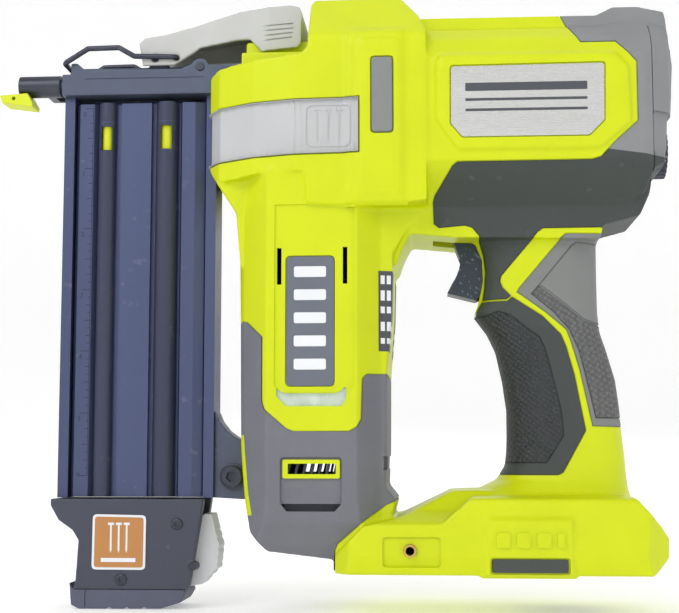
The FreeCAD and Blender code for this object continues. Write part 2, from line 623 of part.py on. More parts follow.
door = Piece("nose_door")
door.add("side", [[(-202.3, 203.4), (-202.3, 204.6), (-199, 206.2), (-148, 206.2), (-148, 203.4)]],
         "-door_half", "door_half")
door.add("side", [circle_points(*HINGE, 3.0)], "-door_half", "door_half")
door.add("side", [circle_points(*LEVER_AXIS, 3.0)], "-door_half", "door_half")
door.add("side", [[(-170.5, 205.5), (-168.5, 209), (-164.5, 209), (-161, 205.5)]], "-door_half", "door_half")
door.cut("side", [(*LEVER_AXIS, "pin_small + running_gap")], "-20", "20")
door.cut("side", [(*HINGE, "pin_small + running_gap")], "-20", "20")
door.cut("side", [circle_points(*HINGE, 3.4)], "-3.6", "5")
keep("nose_door", door)

LEVER_SIDE = [(-173.4, 215.5), (-171.8, 206.2), (-158.5, 206.2), (-147.5, 213), (-130.9, 214.6),
              (-125.9, 214.2), (-121, 208.6), (-106.2, 209.9), (-105, 211.5), (-104.4, 224), (-105.5, 226.6),
              (-109, 227.4), (-130, 226.2), (-141.3, 224), (-152.3, 221.6), (-162, 219), (-171, 217.6)]
lever_plan = [(-174, -13), (-150, -13), (-118, -22), (-104, -22), (-104, 22), (-118, 22), (-150, 13),
              (-174, 13)]
lever_blank = Piece("lever_blank").add("side", [LEVER_SIDE], "-25", "25")
lever_form = Piece("lever_form").add("top", [lever_plan], "200", "230")
lever_hollow = Piece("lever_hollow")
lever_hollow.add("side", [[(-175, 200), (-175, 220), (-165.6, 220), (-165.6, 215.6), (-146.6, 219.6),
                           (-134.3, 222.6), (-107.2, 224.4), (-106.9, 214.2), (-100, 214.2), (-100, 200)]],
                 "-30", "30")
lever_room = Piece("lever_room")
lever_room.add("top", [[(-178, -10.8), (-150.4, -10.8), (-118.4, -19.8), (-100, -19.8), (-100, 19.8),
                        (-118.4, 19.8), (-150.4, 10.8), (-178, 10.8)]], "195", "232")
lever_solid = combine("Common", "lever_solid", lever_blank.body, lever_form.body)
lever_inside = combine("Common", "lever_inside", lever_hollow.body, lever_room.body)
lever_u = combine("Cut", "lever_u", lever_solid, lever_inside)
lever_holes = Piece("lever_holes")
lever_holes.add("side", [(*LEVER_AXIS, "pin_small"), (*BAIL_AXIS, "bail_wire + running_gap")], "-20", "20")
keep("latch_lever", combine("Cut", "latch_lever", lever_u, lever_holes.body))

lever_pin = Piece("lever_pin").add("side", [(*LEVER_AXIS, "pin_small")], "-13.1", "13.1")
keep("lever_pin", lever_pin)


def wire_run(points, radius, bend):
    """Round wire through points, with a tangent arc of radius bend at every corner."""
    edges, last = [], points[0]
    for before, corner, after in zip(points, points[1:], points[2:]):
        inward, outward = (corner - before).normalize(), (after - corner).normalize()
        turn = inward.getAngle(outward)
        reach = bend * math.tan(turn / 2)
        start, end = corner - inward * reach, corner + outward * reach
        towards = (outward - inward).normalize()
        middle = corner + towards * (bend / math.cos(turn / 2) - bend)
        edges += [Part.LineSegment(last, start).toShape(), Part.Arc(start, middle, end).toShape()]
        last = end
    edges.append(Part.LineSegment(last, points[-1]).toShape())
    path = Part.Wire(edges)
    circle = Part.Wire(Part.makeCircle(radius, points[0], points[1] - points[0]))
    return path.makePipeShell([circle], True, True)


BAIL_SIDE = [BAIL_AXIS, (-175, 209.6), (-181.5, 213.4), (-194.5, 213.2), (-204.3, 207.1)]
half = size("bail_half")
bail_x, bail_z = BAIL_AXIS
bail_points = [Vector(bail_x, -11, bail_z)] + [Vector(x, -half, z) for x, z in BAIL_SIDE]
bail_points += [Vector(x, half, z) for x, z in reversed(BAIL_SIDE)] + [Vector(bail_x, 11, bail_z)]
keep("latch_bail", shaped("latch_bail", wire_run(bail_points, size("bail_wire"), 1.6)))

foot = Piece("contact_foot")
foot.add("front", [(0, DRIVE_Z, "tip_radius")], "-227", "-209.1")
foot.add("side", [box(-217, -213.5, 198, 204)], "0", "arm_half + 1")
foot.add("side", [box(-217, -152, 198, 204)], "arm_half - 1", "arm_half + 1")
foot.add("front", [(*WHEEL_AXIS, "1.6")], "-153", "-137")
foot.add("side", [box(-154, -150, 198, 205)], "arm_half - 1.5", "arm_half + 1.6")
foot.cut("front", [(0, DRIVE_Z, "snout_radius + 0.3")], "-225", "-209")
foot.cut("side", [box(-228, -224, 198.5, 203.5)], "-1.2", "1.2")
keep("contact_foot", foot)

pad = Piece("no_mar_pad")
pad.add("side", [[(-234.8, 198.8), (-227.4, 198.8), (-227.4, 196.1), (-222, 196.1), (-222, 192.5),
                  (-234.7, 193.6)]], "-4.2", "4.2")
for low, high in (("4.9", "5.9"), ("-5.9", "-4.9")):
    pad.add("side", [[(-231, 193.6), (-231, 198.8), (-226, 202), (-222.5, 202), (-222.5, 193)]], low, high)
    pad.add("side", [box(-231, -227.6, 193.8, 198.5)], *(("4", "5.5") if low == "4.9" else ("-5.5", "-4")))
keep("no_mar_pad", pad)

wheel = Piece("depth_wheel")
ribs = 18
edge = []
for number in range(ribs):
    middle = 2 * math.pi * number / ribs
    for shift, radius in ((-0.1, 5.5), (-0.07, 6.0), (0.07, 6.0), (0.1, 5.5)):
        edge.append((WHEEL_AXIS[0] + radius * math.sin(middle + shift),
                     WHEEL_AXIS[1] + radius * math.cos(middle + shift)))
wheel.add("front", [edge, (*WHEEL_AXIS, "1.6 + running_gap")], "-140.5", "-133.5")
keep("depth_wheel", wheel)

# ---------------------------------------------------------------- magazine

rail = Piece("magazine_rail")
rail.add("top", [[(-205.1, -9), (-200.9, -9), (-200.9, 1), (-145.4, 1), (-145.4, -9), (-141.2, -9), (-141.2, 8),
                  (-205.1, 8)]], "28", "rail_top")
rail.cut("top", [box(-201.5, -149, 0, 1.5)], "27", "rail_top + 1")
keep("magazine_rail", rail)

TUBE_FRONT, TUBE_REAR = -187.1, -161.9
cover = Piece("magazine_cover")
cover.add("top", [[(-200.3, -1.2), (-200.3, -6.5), (-198.7, -8.5), (-192.8, -8.5), (-191, -6.5),
                   (-156.5, -6.5), (-155.4, -9.5), (-150, -9.5), (-146, -7.5), (-146, -1.2)]],
          "cover_bottom", "cover_top")
cover.add("top", [(TUBE_FRONT, -7.2, "3.6")], "cover_bottom", "cover_top")
cover.add("top", [(TUBE_REAR, -7.2, "4.6")], "cover_bottom", "cover_top")
cover.add("top", [box(-181, -168.4, -9, -5)], "cover_bottom", "cover_top")
cover.cut("top", [(TUBE_FRONT, -7.2, "2.7"), (TUBE_REAR, -7.2, "3.6")], "cover_bottom + 2", "cover_top - 3")
for place in (TUBE_FRONT, TUBE_REAR):
    cover.cut("top", [box(place - 0.9, place + 0.9, -5.5, -1)], "40", "cover_top - 4")
cover.cut("side", [box(-189.2, -184.5, 171, 181), box(-164.4, -159.4, 171, 181)], "-13", "-8")
keep("magazine_cover", cover)

pusher = Piece("pusher")
pusher.add("side", [[(-199.5, 160), (-199.5, 186), (-150.5, 186), (-150.5, 176), (-158, 160)]], "-0.6", "0.6")
for place, radius in ((TUBE_FRONT, "2.35"), (TUBE_REAR, "3.25")):
    pusher.add("top", [(place, -7.2, radius)], "163", "185")
    pusher.add("top", [box(place - 0.6, place + 0.6, -5.5, 0.3)], "163", "185")
keep("pusher", pusher)

UP = Vector(0, 0, 1)
springs = [shaped(label, helix_spring(Vector(place, -7.2, 31.2), UP, 131, turns, radius, wire))
           for label, place, turns, radius, wire in (("spring_front", TUBE_FRONT, 22, 1.95, 0.3),
                                                     ("spring_rear", TUBE_REAR, 20, 2.75, 0.35))]
keep("pusher_springs", gather("Compound", "pusher_springs", springs))

CAP = [(-206.8, 27.6), (-206.8, 25), (-203.4, 19.1), (-197.6, 15.1), (-195.1, 11.1), (-196, -4.7), (-197, -8.2),
       (-152, -8.2), (-150.2, -8.3), (-145.7, 19.3), (-144.5, 27.6)]
cap = Piece("magazine_end_cap")
cap.add("side", [CAP], "-cap_half", "cap_half")
cap.cut("side", [[(-155.4, -10), (-155.4, 2), (-156.6, 8), (-156.6, 28), (-140, 28), (-140, -10)]],
        "-(latch_half + 0.4)", "latch_half + 0.4")
cap.cut("side", [(*LATCH_AXIS, "pin_small")], "-20", "20")
keep("magazine_end_cap", cap)

shoe = Piece("end_shoe")
shoe.add("side", [[(-198.6, -5.5), (-197.2, -8.2), (-152, -8.2), (-151.4, -10), (-153.4, -13.4),
                   (-161.4, -15.8), (-194.5, -16.1), (-197.8, -14.5)]], "-(cap_half - 0.5)", "cap_half - 0.5")
keep("end_shoe", shoe)

cap_badge = Piece("end_badge")
cap_badge.add("side", [[(-189.6, 1.6), (-188.1, 0.1), (-169.5, 0.1), (-168, 1.6), (-168, 19.7), (-169.5, 21.2),
                        (-188.1, 21.2), (-189.6, 19.7)]], "-(cap_half + 0.6)", "-cap_half")
keep("end_badge", cap_badge)

cap_screws = [Piece(f"end_cap_screw_{n}").add("side", [circle_points(x, z, 2.2)],
                                              "-(cap_half + 0.5)", "-cap_half").body
              for n, (x, z) in enumerate([(-158.6, 17.4), (-177.7, -4.6)])]
keep("end_cap_screws", gather("Compound", "end_cap_screws", cap_screws))

latch = Piece("magazine_latch")
latch.add("side", [[(-152.5, 12.9), (-144.9, 21.6), (-142, 21.6), (-138.6, 9), (-139.4, -0.2), (-145.5, -6.5),
                    (-151.5, -7.6), (-153, -4)]], "-latch_half", "latch_half")
latch.cut("side", [(*LATCH_AXIS, "pin_small + running_gap")], "-20", "20")
for groove_x, groove_z in ((-139.3, 1.5), (-139.0, 4.5), (-138.8, 7.5), (-139.4, 11.8), (-140.2, 14.8),
                           (-141.1, -1.8), (-143.2, -4.0)):
    latch.cut("side", [circle_points(groove_x + 0.5, groove_z, 0.8)], "-20", "20")
keep("magazine_latch", latch)

latch_pin = Piece("latch_pin").add("side", [(*LATCH_AXIS, "pin_small")], "-cap_half + 0.2", "cap_half - 0.2")
keep("latch_pin", latch_pin)

bracket = Piece("magazine_bracket")
bracket.add("side", [[(-141.2, 63.5), (-139.3, 59), (-136.2, 55), (-132.6, 52.4), (-128.6, 50.6), (-125.4, 50),
                      (-125.2, 46.3), (-124, 28), (-126.4, 27.2), (-141.2, 28)]], "-7", "7")
bracket.cut("side", [(*BOLT_AXIS, "2.5")], "-20", "20")
keep("magazine_bracket", bracket)



def hexagon(reach):
    """A hexagon round the bracket bolt, given the distance to its corners."""
    return [(BOLT_AXIS[0] + reach * math.cos(math.pi * k / 3), BOLT_AXIS[1] + reach * math.sin(math.pi * k / 3))
            for k in range(6)]


bolt = Piece("bracket_bolt")
bolt.add("side", [(*BOLT_AXIS, "2.5")], "-8", "10.5")
bolt.add("side", [circle_points(*BOLT_AXIS, 4.2)], "-11", "-7")
bolt.cut("side", [hexagon(2.2)], "-12", "-8.6")
keep("bracket_bolt", bolt)

nut = Piece("bracket_nut").add("side", [hexagon(4.2), (*BOLT_AXIS, "2.5")], "7", "10")
keep("bracket_nut", nut)

# ---------------------------------------------------------------- check and write

doc.recompute()
for item in doc.Objects:
    if "Invalid" in item.State or "Error" in item.State:
        raise RuntimeError(f"{item.Label} failed: {item.State}")
for name, item in NODES.items():
    if item.Shape.isNull() or not item.Shape.isValid():
        raise RuntimeError(f"{name} has no valid shape")

os.makedirs("parts", exist_ok=True)
for name, item in NODES.items():
    item.Shape.exportStep(f"parts/{name}.step")
print(len(NODES), "pieces")
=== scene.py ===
import math

import bmesh
import bpy
import numpy as np
from mathutils import Matrix, Vector


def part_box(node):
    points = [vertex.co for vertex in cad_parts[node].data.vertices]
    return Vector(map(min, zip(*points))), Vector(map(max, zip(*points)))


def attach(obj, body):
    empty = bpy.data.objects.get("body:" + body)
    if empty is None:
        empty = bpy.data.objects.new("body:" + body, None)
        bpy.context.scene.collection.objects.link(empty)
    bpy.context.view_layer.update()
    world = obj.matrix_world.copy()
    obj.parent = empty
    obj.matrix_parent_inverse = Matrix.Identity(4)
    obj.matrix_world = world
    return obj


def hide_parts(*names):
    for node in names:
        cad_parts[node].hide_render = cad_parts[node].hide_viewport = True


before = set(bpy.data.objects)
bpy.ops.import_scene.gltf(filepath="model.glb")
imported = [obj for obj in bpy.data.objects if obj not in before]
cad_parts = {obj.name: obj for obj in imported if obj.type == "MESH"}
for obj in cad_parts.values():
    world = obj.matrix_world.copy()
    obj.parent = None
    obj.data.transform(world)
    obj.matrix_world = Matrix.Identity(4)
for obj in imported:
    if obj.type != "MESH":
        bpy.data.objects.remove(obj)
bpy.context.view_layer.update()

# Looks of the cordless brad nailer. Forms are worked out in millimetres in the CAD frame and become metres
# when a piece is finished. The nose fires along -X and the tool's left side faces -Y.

MM = 0.001

# where a point of an outline goes, for each direction that the outline is seen from
AXES = {
    "side": lambda a, b, depth: (a, depth, b),
    "front": lambda a, b, depth: (depth, a, b),
    "top": lambda a, b, depth: (a, b, depth),
}


# ---------------------------------------------------------------- forms

def solid(points, faces):
    """A mesh object whose faces all point outwards."""
    mesh = bpy.data.meshes.new("form")
    mesh.from_pydata(points, [], faces)
    grid = bmesh.new()
    grid.from_mesh(mesh)
    bmesh.ops.recalc_face_normals(grid, faces=grid.faces)
    grid.to_mesh(mesh)
    grid.free()
    piece = bpy.data.objects.new("form", mesh)
    bpy.context.scene.collection.objects.link(piece)
    return piece


def loft(rings):
    """A closed solid through rings of equally many points."""
    count = len(rings[0])
    faces = [list(range(count)), list(range((len(rings) - 1) * count, len(rings) * count))]
    for ring in range(len(rings) - 1):
        low, high = ring * count, (ring + 1) * count
        faces += [[low + k, low + (k + 1) % count, high + (k + 1) % count, high + k] for k in range(count)]
    return solid([point for ring in rings for point in ring], faces)


def prism(plane, outline, low, high):
    """An outline seen from one side, made solid between two depths."""
    place = AXES[plane]
    return loft([[place(a, b, depth) for a, b in outline] for depth in (low, high)])


def circle(x, y, radius, count=32):
    """The corners of a circle as an outline."""
    return [(x + radius * math.cos(2 * math.pi * k / count), y + radius * math.sin(2 * math.pi * k / count))
            for k in range(count)]


def box(x_low, x_high, y_low, y_high):
    """The corners of a rectangle as an outline."""
    return [(x_low, y_low), (x_high, y_low), (x_high, y_high), (x_low, y_high)]


def inset(points, distance):
    """The same polygon with every edge moved inwards by distance, or outwards if it is negative."""
    count = len(points)
    area = sum(points[i - 1][0] * points[i][1] - points[i][0] * points[i - 1][1] for i in range(count))
    turn = 1.0 if area > 0 else -1.0
    moved = []
    for i in range(count):
        (ax, ay), (bx, by), (cx, cy) = points[i - 1], points[i], points[(i + 1) % count]
        first, second = math.hypot(bx - ax, by - ay), math.hypot(cx - bx, cy - by)
        nx1, ny1 = -(by - ay) / first * turn, (bx - ax) / first * turn
        nx2, ny2 = -(cy - by) / second * turn, (cx - bx) / second * turn
        scale = distance / max(0.3, 1.0 + nx1 * nx2 + ny1 * ny2)
        moved.append((bx + (nx1 + nx2) * scale, by + (ny1 + ny2) * scale))
    return moved


def rounded(points, radius, steps=4):
    """The same polygon with its corners rounded."""
    result = []
    for i, corner in enumerate(points):
        here = Vector(corner)
        before, after = Vector(points[i - 1]) - here, Vector(points[(i + 1) % len(points)]) - here
        turn = before.angle(after)
        reach = min(radius / math.tan(turn / 2), before.length * 0.45, after.length * 0.45)
        start, end = here + before.normalized() * reach, here + after.normalized() * reach
        for step in range(steps + 1):
            t = step / steps
            result.append(tuple((1 - t) ** 2 * start + 2 * t * (1 - t) * here + t * t * end))
    return result


def plateau(outline, base, top, flare):
    """A low raised field on the left side, with sloping edges."""
    foot = inset(outline, -flare)
    return loft([[(x, base, z) for x, z in foot], [(x, top, z) for x, z in outline]])


def settle(piece):
    """Turn the piece's modifiers into its mesh."""
    graph = bpy.context.evaluated_depsgraph_get()
    fresh = bpy.data.meshes.new_from_object(piece.evaluated_get(graph))
    old = piece.data
    piece.modifiers.clear()
    piece.data = fresh
    bpy.data.meshes.remove(old)
    return piece


def drop(*pieces):
    """Remove pieces that have been used up."""
    for piece in pieces:
        bpy.data.meshes.remove(piece.data)


def duplicate(piece):
    """A copy of the piece's mesh as a new object."""
    copy = bpy.data.objects.new("form", piece.data.copy())
    bpy.context.scene.collection.objects.link(copy)
    return copy


def carve(piece, tools, how="DIFFERENCE"):
    """Cut, join or intersect the piece with tools, which are used up."""
    for tool in tools:
        step = piece.modifiers.new("carve", "BOOLEAN")
        step.operation = how
        step.solver = "MANIFOLD"
        step.object = tool
    settle(piece)
    drop(*tools)
    return piece


def common(*pieces):
    """What all the pieces share; they are used up."""
    return carve(pieces[0], pieces[1:], "INTERSECT")


def joined(pieces):
    """The pieces as one mesh, which is the first piece's."""
    grid = bmesh.new()
    for piece in pieces:
        grid.from_mesh(piece.data)
    grid.to_mesh(pieces[0].data)
    grid.free()
    drop(*pieces[1:])
    return pieces[0]


def moulded(pieces, voxel, rounds, keep=1.0):
    """One body with rolled edges out of overlapping forms, with a share of its triangles kept."""
    piece = joined(pieces)
    remesh = piece.modifiers.new("remesh", "REMESH")
    remesh.mode = "VOXEL"
    remesh.voxel_size = voxel
    smooth = piece.modifiers.new("smooth", "SMOOTH")
    smooth.factor = 0.5
    smooth.iterations = rounds
    if keep < 1.0:
        thin = piece.modifiers.new("thin", "DECIMATE")
        thin.ratio = keep
    return settle(piece)


def grown(piece, distance):
    """A copy whose surface is moved outwards by distance."""
    copy = duplicate(piece)
    count = len(copy.data.vertices)
    places, normals = np.zeros(count * 3), np.zeros(count * 3)
    copy.data.vertices.foreach_get("co", places)
    copy.data.vertex_normals.foreach_get("vector", normals)
    copy.data.vertices.foreach_set("co", places + normals * distance)
    copy.data.update()
    return copy


def sink(piece, depth, tools):
    """Lower the piece's surface by depth inside the tools."""
    floor = grown(piece, -depth)
    carve(piece, tools)
    return carve(piece, [floor], "UNION")


def mirrored(piece):
    """A copy for the other side of the middle plane."""
    copy = duplicate(piece)
    copy.data.transform(Matrix.Scale(-1, 4, (0, 1, 0)))
    copy.data.flip_normals()
    return copy


SHARP_ANGLE = 32         # edges that turn by more degrees than this stay sharp


def finish_piece(piece, name, body, material, nodes=()):
    """Name, scale, shade and paint a piece, and let it ride on its body."""
    piece.name = name
    piece.data.name = name
    piece.data.transform(Matrix.Scale(MM, 4))
    piece.data.shade_smooth()
    piece.data.set_sharp_from_angle(angle=math.radians(SHARP_ANGLE))
    piece.data.materials.clear()
    piece.data.materials.append(material)
    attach(piece, body)
    if nodes:
        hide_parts(*nodes)
    return piece


# ---------------------------------------------------------------- materials

def linear(colour):
    """Scene-linear colour from a 0..255 display colour."""
    return [((c / 255 + 0.055) / 1.055) ** 2.4 if c > 10 else c / 255 / 12.92 for c in colour] + [1.0]


def surface(name, colour, rough, metal=0.0, mottle=0.06, mottle_size=0.02, grain=0.0006, relief=0.25,
            stretch=(1, 1, 1), weave=None, speckle=None, coat=0.0, specular=0.5, scuffs=0.0):
    """A moulded, cast or brushed finish: uneven colour, uneven gloss, and a fine relief; with a weave,
    painted shade also darkens the valleys between the knobs.
    """
    material = bpy.data.materials.new(name)
    material.use_nodes = True
    nodes, links = material.node_tree.nodes, material.node_tree.links
    shader = nodes["Principled BSDF"]
    shader.inputs["Metallic"].default_value = metal
    shader.inputs["Specular IOR Level"].default_value = specular
    shader.inputs["Coat Weight"].default_value = coat
    shader.inputs["Coat Roughness"].default_value = 0.25
    place = nodes.new("ShaderNodeTexCoord")
    spread = nodes.new("ShaderNodeMapping")
    spread.inputs["Scale"].default_value = stretch
    links.new(place.outputs["Object"], spread.inputs["Vector"])

    def noise(size, detail, vector):
        node = nodes.new("ShaderNodeTexNoise")
        node.inputs["Scale"].default_value = 1 / size
        node.inputs["Detail"].default_value = detail
        links.new(vector, node.inputs["Vector"])
        return node.outputs["Fac"]

    def ramp(value, low, high, first, last):
        node = nodes.new("ShaderNodeMapRange")
        links.new(value, node.inputs["Value"])
        for socket, number in zip(("From Min", "From Max", "To Min", "To Max"), (low, high, first, last)):
            node.inputs[socket].default_value = number
        return node.outputs["Result"]

    def mix(factor, first, second):
        node = nodes.new("ShaderNodeMix")
        node.data_type = "RGBA"
        links.new(factor, node.inputs["Factor"])
        for socket, value in ((node.inputs[6], first), (node.inputs[7], second)):
            if hasattr(value, "is_linked"):
                links.new(value, socket)
            else:
                socket.default_value = value
        return node.outputs[2]

    base = linear(colour)
    dark = [c * (1 - mottle) for c in base[:3]] + [1.0]
    light = [min(1.0, c * (1 + mottle)) for c in base[:3]] + [1.0]
    cloud = noise(mottle_size, 3, spread.outputs["Vector"])
    tint = mix(ramp(cloud, 0.3, 0.7, 0, 1), dark, light)
    if speckle:
        dots = noise(0.0012, 1, place.outputs["Object"])
        tint = mix(ramp(dots, 0.62, 0.7, 0, 1), tint, linear(speckle))
    if scuffs:
        marks = noise(0.006, 8, place.outputs["Object"])
        worn = [c * 0.5 + 0.35 for c in base[:3]] + [1.0]
        tint = mix(ramp(marks, 0.66, 0.8, 0, scuffs), tint, worn)
    links.new(tint, shader.inputs["Base Color"])
    fine = noise(grain, 4, spread.outputs["Vector"])
    uneven = nodes.new("ShaderNodeMath")
    uneven.operation = "ADD"
    links.new(ramp(cloud, 0.2, 0.8, -0.06, 0.06), uneven.inputs[0])
    links.new(ramp(fine, 0.3, 0.7, rough - 0.05, rough + 0.07), uneven.inputs[1])
    links.new(uneven.outputs[0], shader.inputs["Roughness"])
    bump = nodes.new("ShaderNodeBump")
    bump.inputs["Strength"].default_value = relief
    bump.inputs["Distance"].default_value = grain * 0.35
    links.new(fine, bump.inputs["Height"])
    last = bump.outputs["Normal"]
    if weave:
        cells = nodes.new("ShaderNodeTexVoronoi")
        cells.feature = "F1"
        cells.inputs["Scale"].default_value = 1 / weave
        cells.inputs["Randomness"].default_value = 0.25
        turned = nodes.new("ShaderNodeMapping")
        turned.inputs["Rotation"].default_value = (0.4, 0.9, 0.5)
        links.new(place.outputs["Object"], turned.inputs["Vector"])
        links.new(turned.outputs["Vector"], cells.inputs["Vector"])
        knobs = nodes.new("ShaderNodeBump")
        knobs.invert = True
        knobs.inputs["Strength"].default_value = 0.8
        knobs.inputs["Distance"].default_value = weave * 0.45
        links.new(ramp(cells.outputs["Distance"], 0.1, 0.62, 0, 1), knobs.inputs["Height"])
        links.new(last, knobs.inputs["Normal"])
        last = knobs.outputs["Normal"]
        # painted shade: the colour darkens to near black in the valleys between the knobs, away from each
        # cell's middle
        valley_painted_shade = mix(ramp(cells.outputs["Distance"], 0.25, 0.65, 0, 0.45), tint, [0.01, 0.01, 0.012, 1.0])
        links.new(valley_painted_shade, shader.inputs["Base Color"])
    links.new(last, shader.inputs["Normal"])
    return material


LIME = surface("lime_plastic", (208, 220, 0), 0.42, mottle=0.025, grain=0.0005, relief=0.16, specular=0.35)
RUBBER = surface("grey_rubber", (60, 66, 65), 0.62, mottle=0.05, grain=0.0007, relief=0.45, scuffs=0.15)
RUBBER_KNOBS = surface("grip_texture", (56, 60, 64), 0.6, mottle=0.05, weave=0.0017)
RUBBER_REAR = surface("grip_rear_texture", (112, 113, 113), 0.62, mottle=0.05, weave=0.0018)
RUBBER_SMOOTH = surface("grip_smooth", (124, 126, 125), 0.6, mottle=0.04, grain=0.0004, relief=0.15)
# the rear cap's lighter grey is partly the rubber's own colour and partly painted light on its upward-facing
# top
CAP_RUBBER_AND_TOP_LIGHT = surface("rear_cap_rubber_and_top_light", (134, 136, 138), 0.6, mottle=0.05, relief=0.35)
RUBBER_BASE = surface("motor_rubber", (112, 113, 121), 0.6, mottle=0.05, grain=0.0009, relief=0.5)
COLLAR_GREY = surface("collar_grey", (188, 189, 190), 0.45, mottle=0.03, relief=0.12, coat=0.1)
LEVER_GREY = surface("lever_grey", (190, 191, 189), 0.45, mottle=0.04, relief=0.15, scuffs=0.2)
LATCH_GREY = surface("latch_grey", (200, 201, 204), 0.5, mottle=0.05, relief=0.2, scuffs=0.2)
PAD_GREY = surface("pad_grey", (128, 132, 131), 0.55, mottle=0.04, relief=0.2)
FOOT_GREY = surface("foot_bar_grey", (64, 68, 66), 0.5, mottle=0.04, relief=0.2)
FOIL = surface("silver_foil", (206, 206, 204), 0.28, metal=0.85, mottle=0.1, mottle_size=0.03, grain=0.0004,
               relief=0.2, stretch=(0.06, 1, 1))
PLATE = surface("dark_label", (98, 104, 116), 0.38, mottle=0.04, relief=0.08, coat=0.3)
WHITE_INK = surface("white_ink", (232, 234, 238), 0.45, mottle=0.02, relief=0.1)
DARK_INK = surface("dark_ink", (70, 74, 80), 0.45, mottle=0.03, relief=0.1)
RULER_INK = surface("ruler_ink", (30, 34, 52), 0.5, mottle=0.03, relief=0.1)
TUBE = surface("tube_paint", (56, 60, 82), 0.42, metal=0.3, mottle=0.08, relief=0.25, stretch=(1, 1, 0.1),
               scuffs=0.2)
ANODISED = surface("magazine_alloy", (76, 84, 116), 0.4, metal=0.55, mottle=0.12, mottle_size=0.05,
                   grain=0.0005, relief=0.3, stretch=(1, 1, 0.05), scuffs=0.25)
CAST = surface("cast_alloy", (84, 91, 110), 0.5, metal=0.4, mottle=0.1, relief=0.45, scuffs=0.3)
STEEL = surface("bare_steel", (150, 154, 165), 0.3, metal=0.95, mottle=0.12, relief=0.15)
DARK_STEEL = surface("blackened_steel", (72, 74, 84), 0.36, metal=0.85, mottle=0.15, relief=0.2, scuffs=0.3)
GEAR = surface("gear_steel", (140, 142, 146), 0.32, metal=0.9, mottle=0.1, relief=0.2)
SILVER_ALLOY = surface("cylinder_alloy", (178, 180, 184), 0.3, metal=0.9, mottle=0.08, relief=0.15)
BRASS = surface("brass", (205, 172, 96), 0.3, metal=0.9, mottle=0.1, relief=0.15)
COPPER = surface("copper_rotor", (168, 108, 72), 0.4, metal=0.8, mottle=0.15, relief=0.3, stretch=(1, 1, 0.1))
NYLON = surface("black_nylon", (58, 62, 74), 0.5, mottle=0.06, relief=0.35, scuffs=0.15)
CAP_NYLON = surface("end_cap_nylon", (62, 65, 80), 0.5, mottle=0.06, relief=0.4, scuffs=0.3)
SHOE_RUBBER = surface("shoe_rubber", (84, 87, 106), 0.6, mottle=0.05, relief=0.4)
TRIGGER = surface("trigger_plastic", (36, 47, 60), 0.42, mottle=0.08, speckle=(92, 112, 128), relief=0.3)
BOARD = surface("board_green", (20, 96, 58), 0.35, mottle=0.1, speckle=(190, 160, 80), relief=0.2)
PAD_LIME = surface("pad_lime", (214, 224, 30), 0.5, mottle=0.04, relief=0.2)
PUSHER = surface("pusher_yellow", (214, 222, 28), 0.42, mottle=0.04, relief=0.2)
ORANGE = surface("badge_orange", (188, 128, 66), 0.4, mottle=0.05, relief=0.12, coat=0.2)
CLEAR = surface("light_pipe", (196, 210, 200), 0.25, mottle=0.15, mottle_size=0.006, relief=0.3, coat=0.5)


# ---------------------------------------------------------------- outlines of the housing, left side

PAST_MIDDLE = 6         # the forms run this far past the middle plane, and are cut there at the end
BESIDE, FAR_BESIDE = -45, -60   # two planes outside the left side, where forms and tools start
WALL = 2.7
FORM_VOXEL, HOLLOW_VOXEL = 0.8, 1.6

# how far each kind of field is sunk into the left side
NAME_DEPTH, COLLAR_DEPTH, PLATE_DEPTH, RECESS_DEPTH = 0.7, 1.6, 1.1, 1.2
SCREW_RECESS = 3.4       # radius of the hole over each housing screw

HEAD_SIDE = [(-61, 132.8), (-64.3, 126.4), (-66.5, 120), (-129, 120), (-131, 142), (-142, 159),
             (-142, 196.5), (-129, 198.5), (-128.8, 207.6), (-100.8, 207.6), (-100.5, 227), (-99, 228.5),
             (-64, 228.9), (-57, 220.2), (13.5, 220), (20, 223.5), (30, 223.5), (40.5, 221), (43.2, 198.8),
             (42.2, 181.5), (41, 162.8), (38, 157), (34.4, 156), (33.4, 147.8), (29.7, 139.4), (15, 135.5),
             (14.1, 130), (-43, 131)]
HEAD_SECTION = [(6, 115), (-22, 115), (-22, 140), (-24, 150), (-24, 215), (-22, 231), (6, 231)]
SADDLE = [(-127.8, 195), (-127.8, 213.5), (-99.5, 213.5), (-99.5, 195)]
BLOCK_SIDE = [(-142.5, 160), (-142.5, 199), (-139, 200.4), (-120, 201.8), (-103.5, 202.8), (-100.8, 205.5),
              (-100.5, 226), (-99, 228.2), (-64.5, 228.6), (-57, 219), (-54, 211), (-54, 143.4), (-82, 141.7),
              (-100.9, 142.7), (-102.3, 155.7), (-118.5, 155.5), (-136, 153.5)]
BLOCK_SECTION = [(6, 135), (-40, 135), (-40, 206.5), (-37.8, 210), (-23.5, 230), (6, 230.5)]
DRUM_SIDE = [(-60, 143), (-60, 213), (-57, 214.5), (13.5, 214.5), (28, 217.5), (39.5, 213), (42, 198.8),
             (41.5, 181), (40.3, 163), (37.5, 157.5), (34, 156), (31, 148), (20, 140), (-50, 138)]
DRUM_SECTION = [(6, 130), (-21, 130), (-22, 142), (-33, 154.5), (-36.8, 159.5), (-36.8, 201), (-32.5, 208.5),
                (-26, 214.5), (-20, 219.8), (6, 220)]
HEAD_PLAN = [(-142.5, 6), (-142.5, -16.5), (-137.5, -25), (-123, -33.6), (-106, -37.8), (28, -37.8),
             (34, -35.2), (40, -30.5), (43.2, -23.5), (43.2, 6)]
PANEL_LOW = [(-84.8, 143.5), (-84.8, 207.5), (-83, 210.3), (-64.4, 210.3), (-63.4, 209), (-63.4, 143.5)]
PANEL_HIGH = [(-80.4, 146), (-80.4, 205.5), (-79, 207.2), (-65.6, 207.2), (-64.8, 206), (-64.8, 146)]
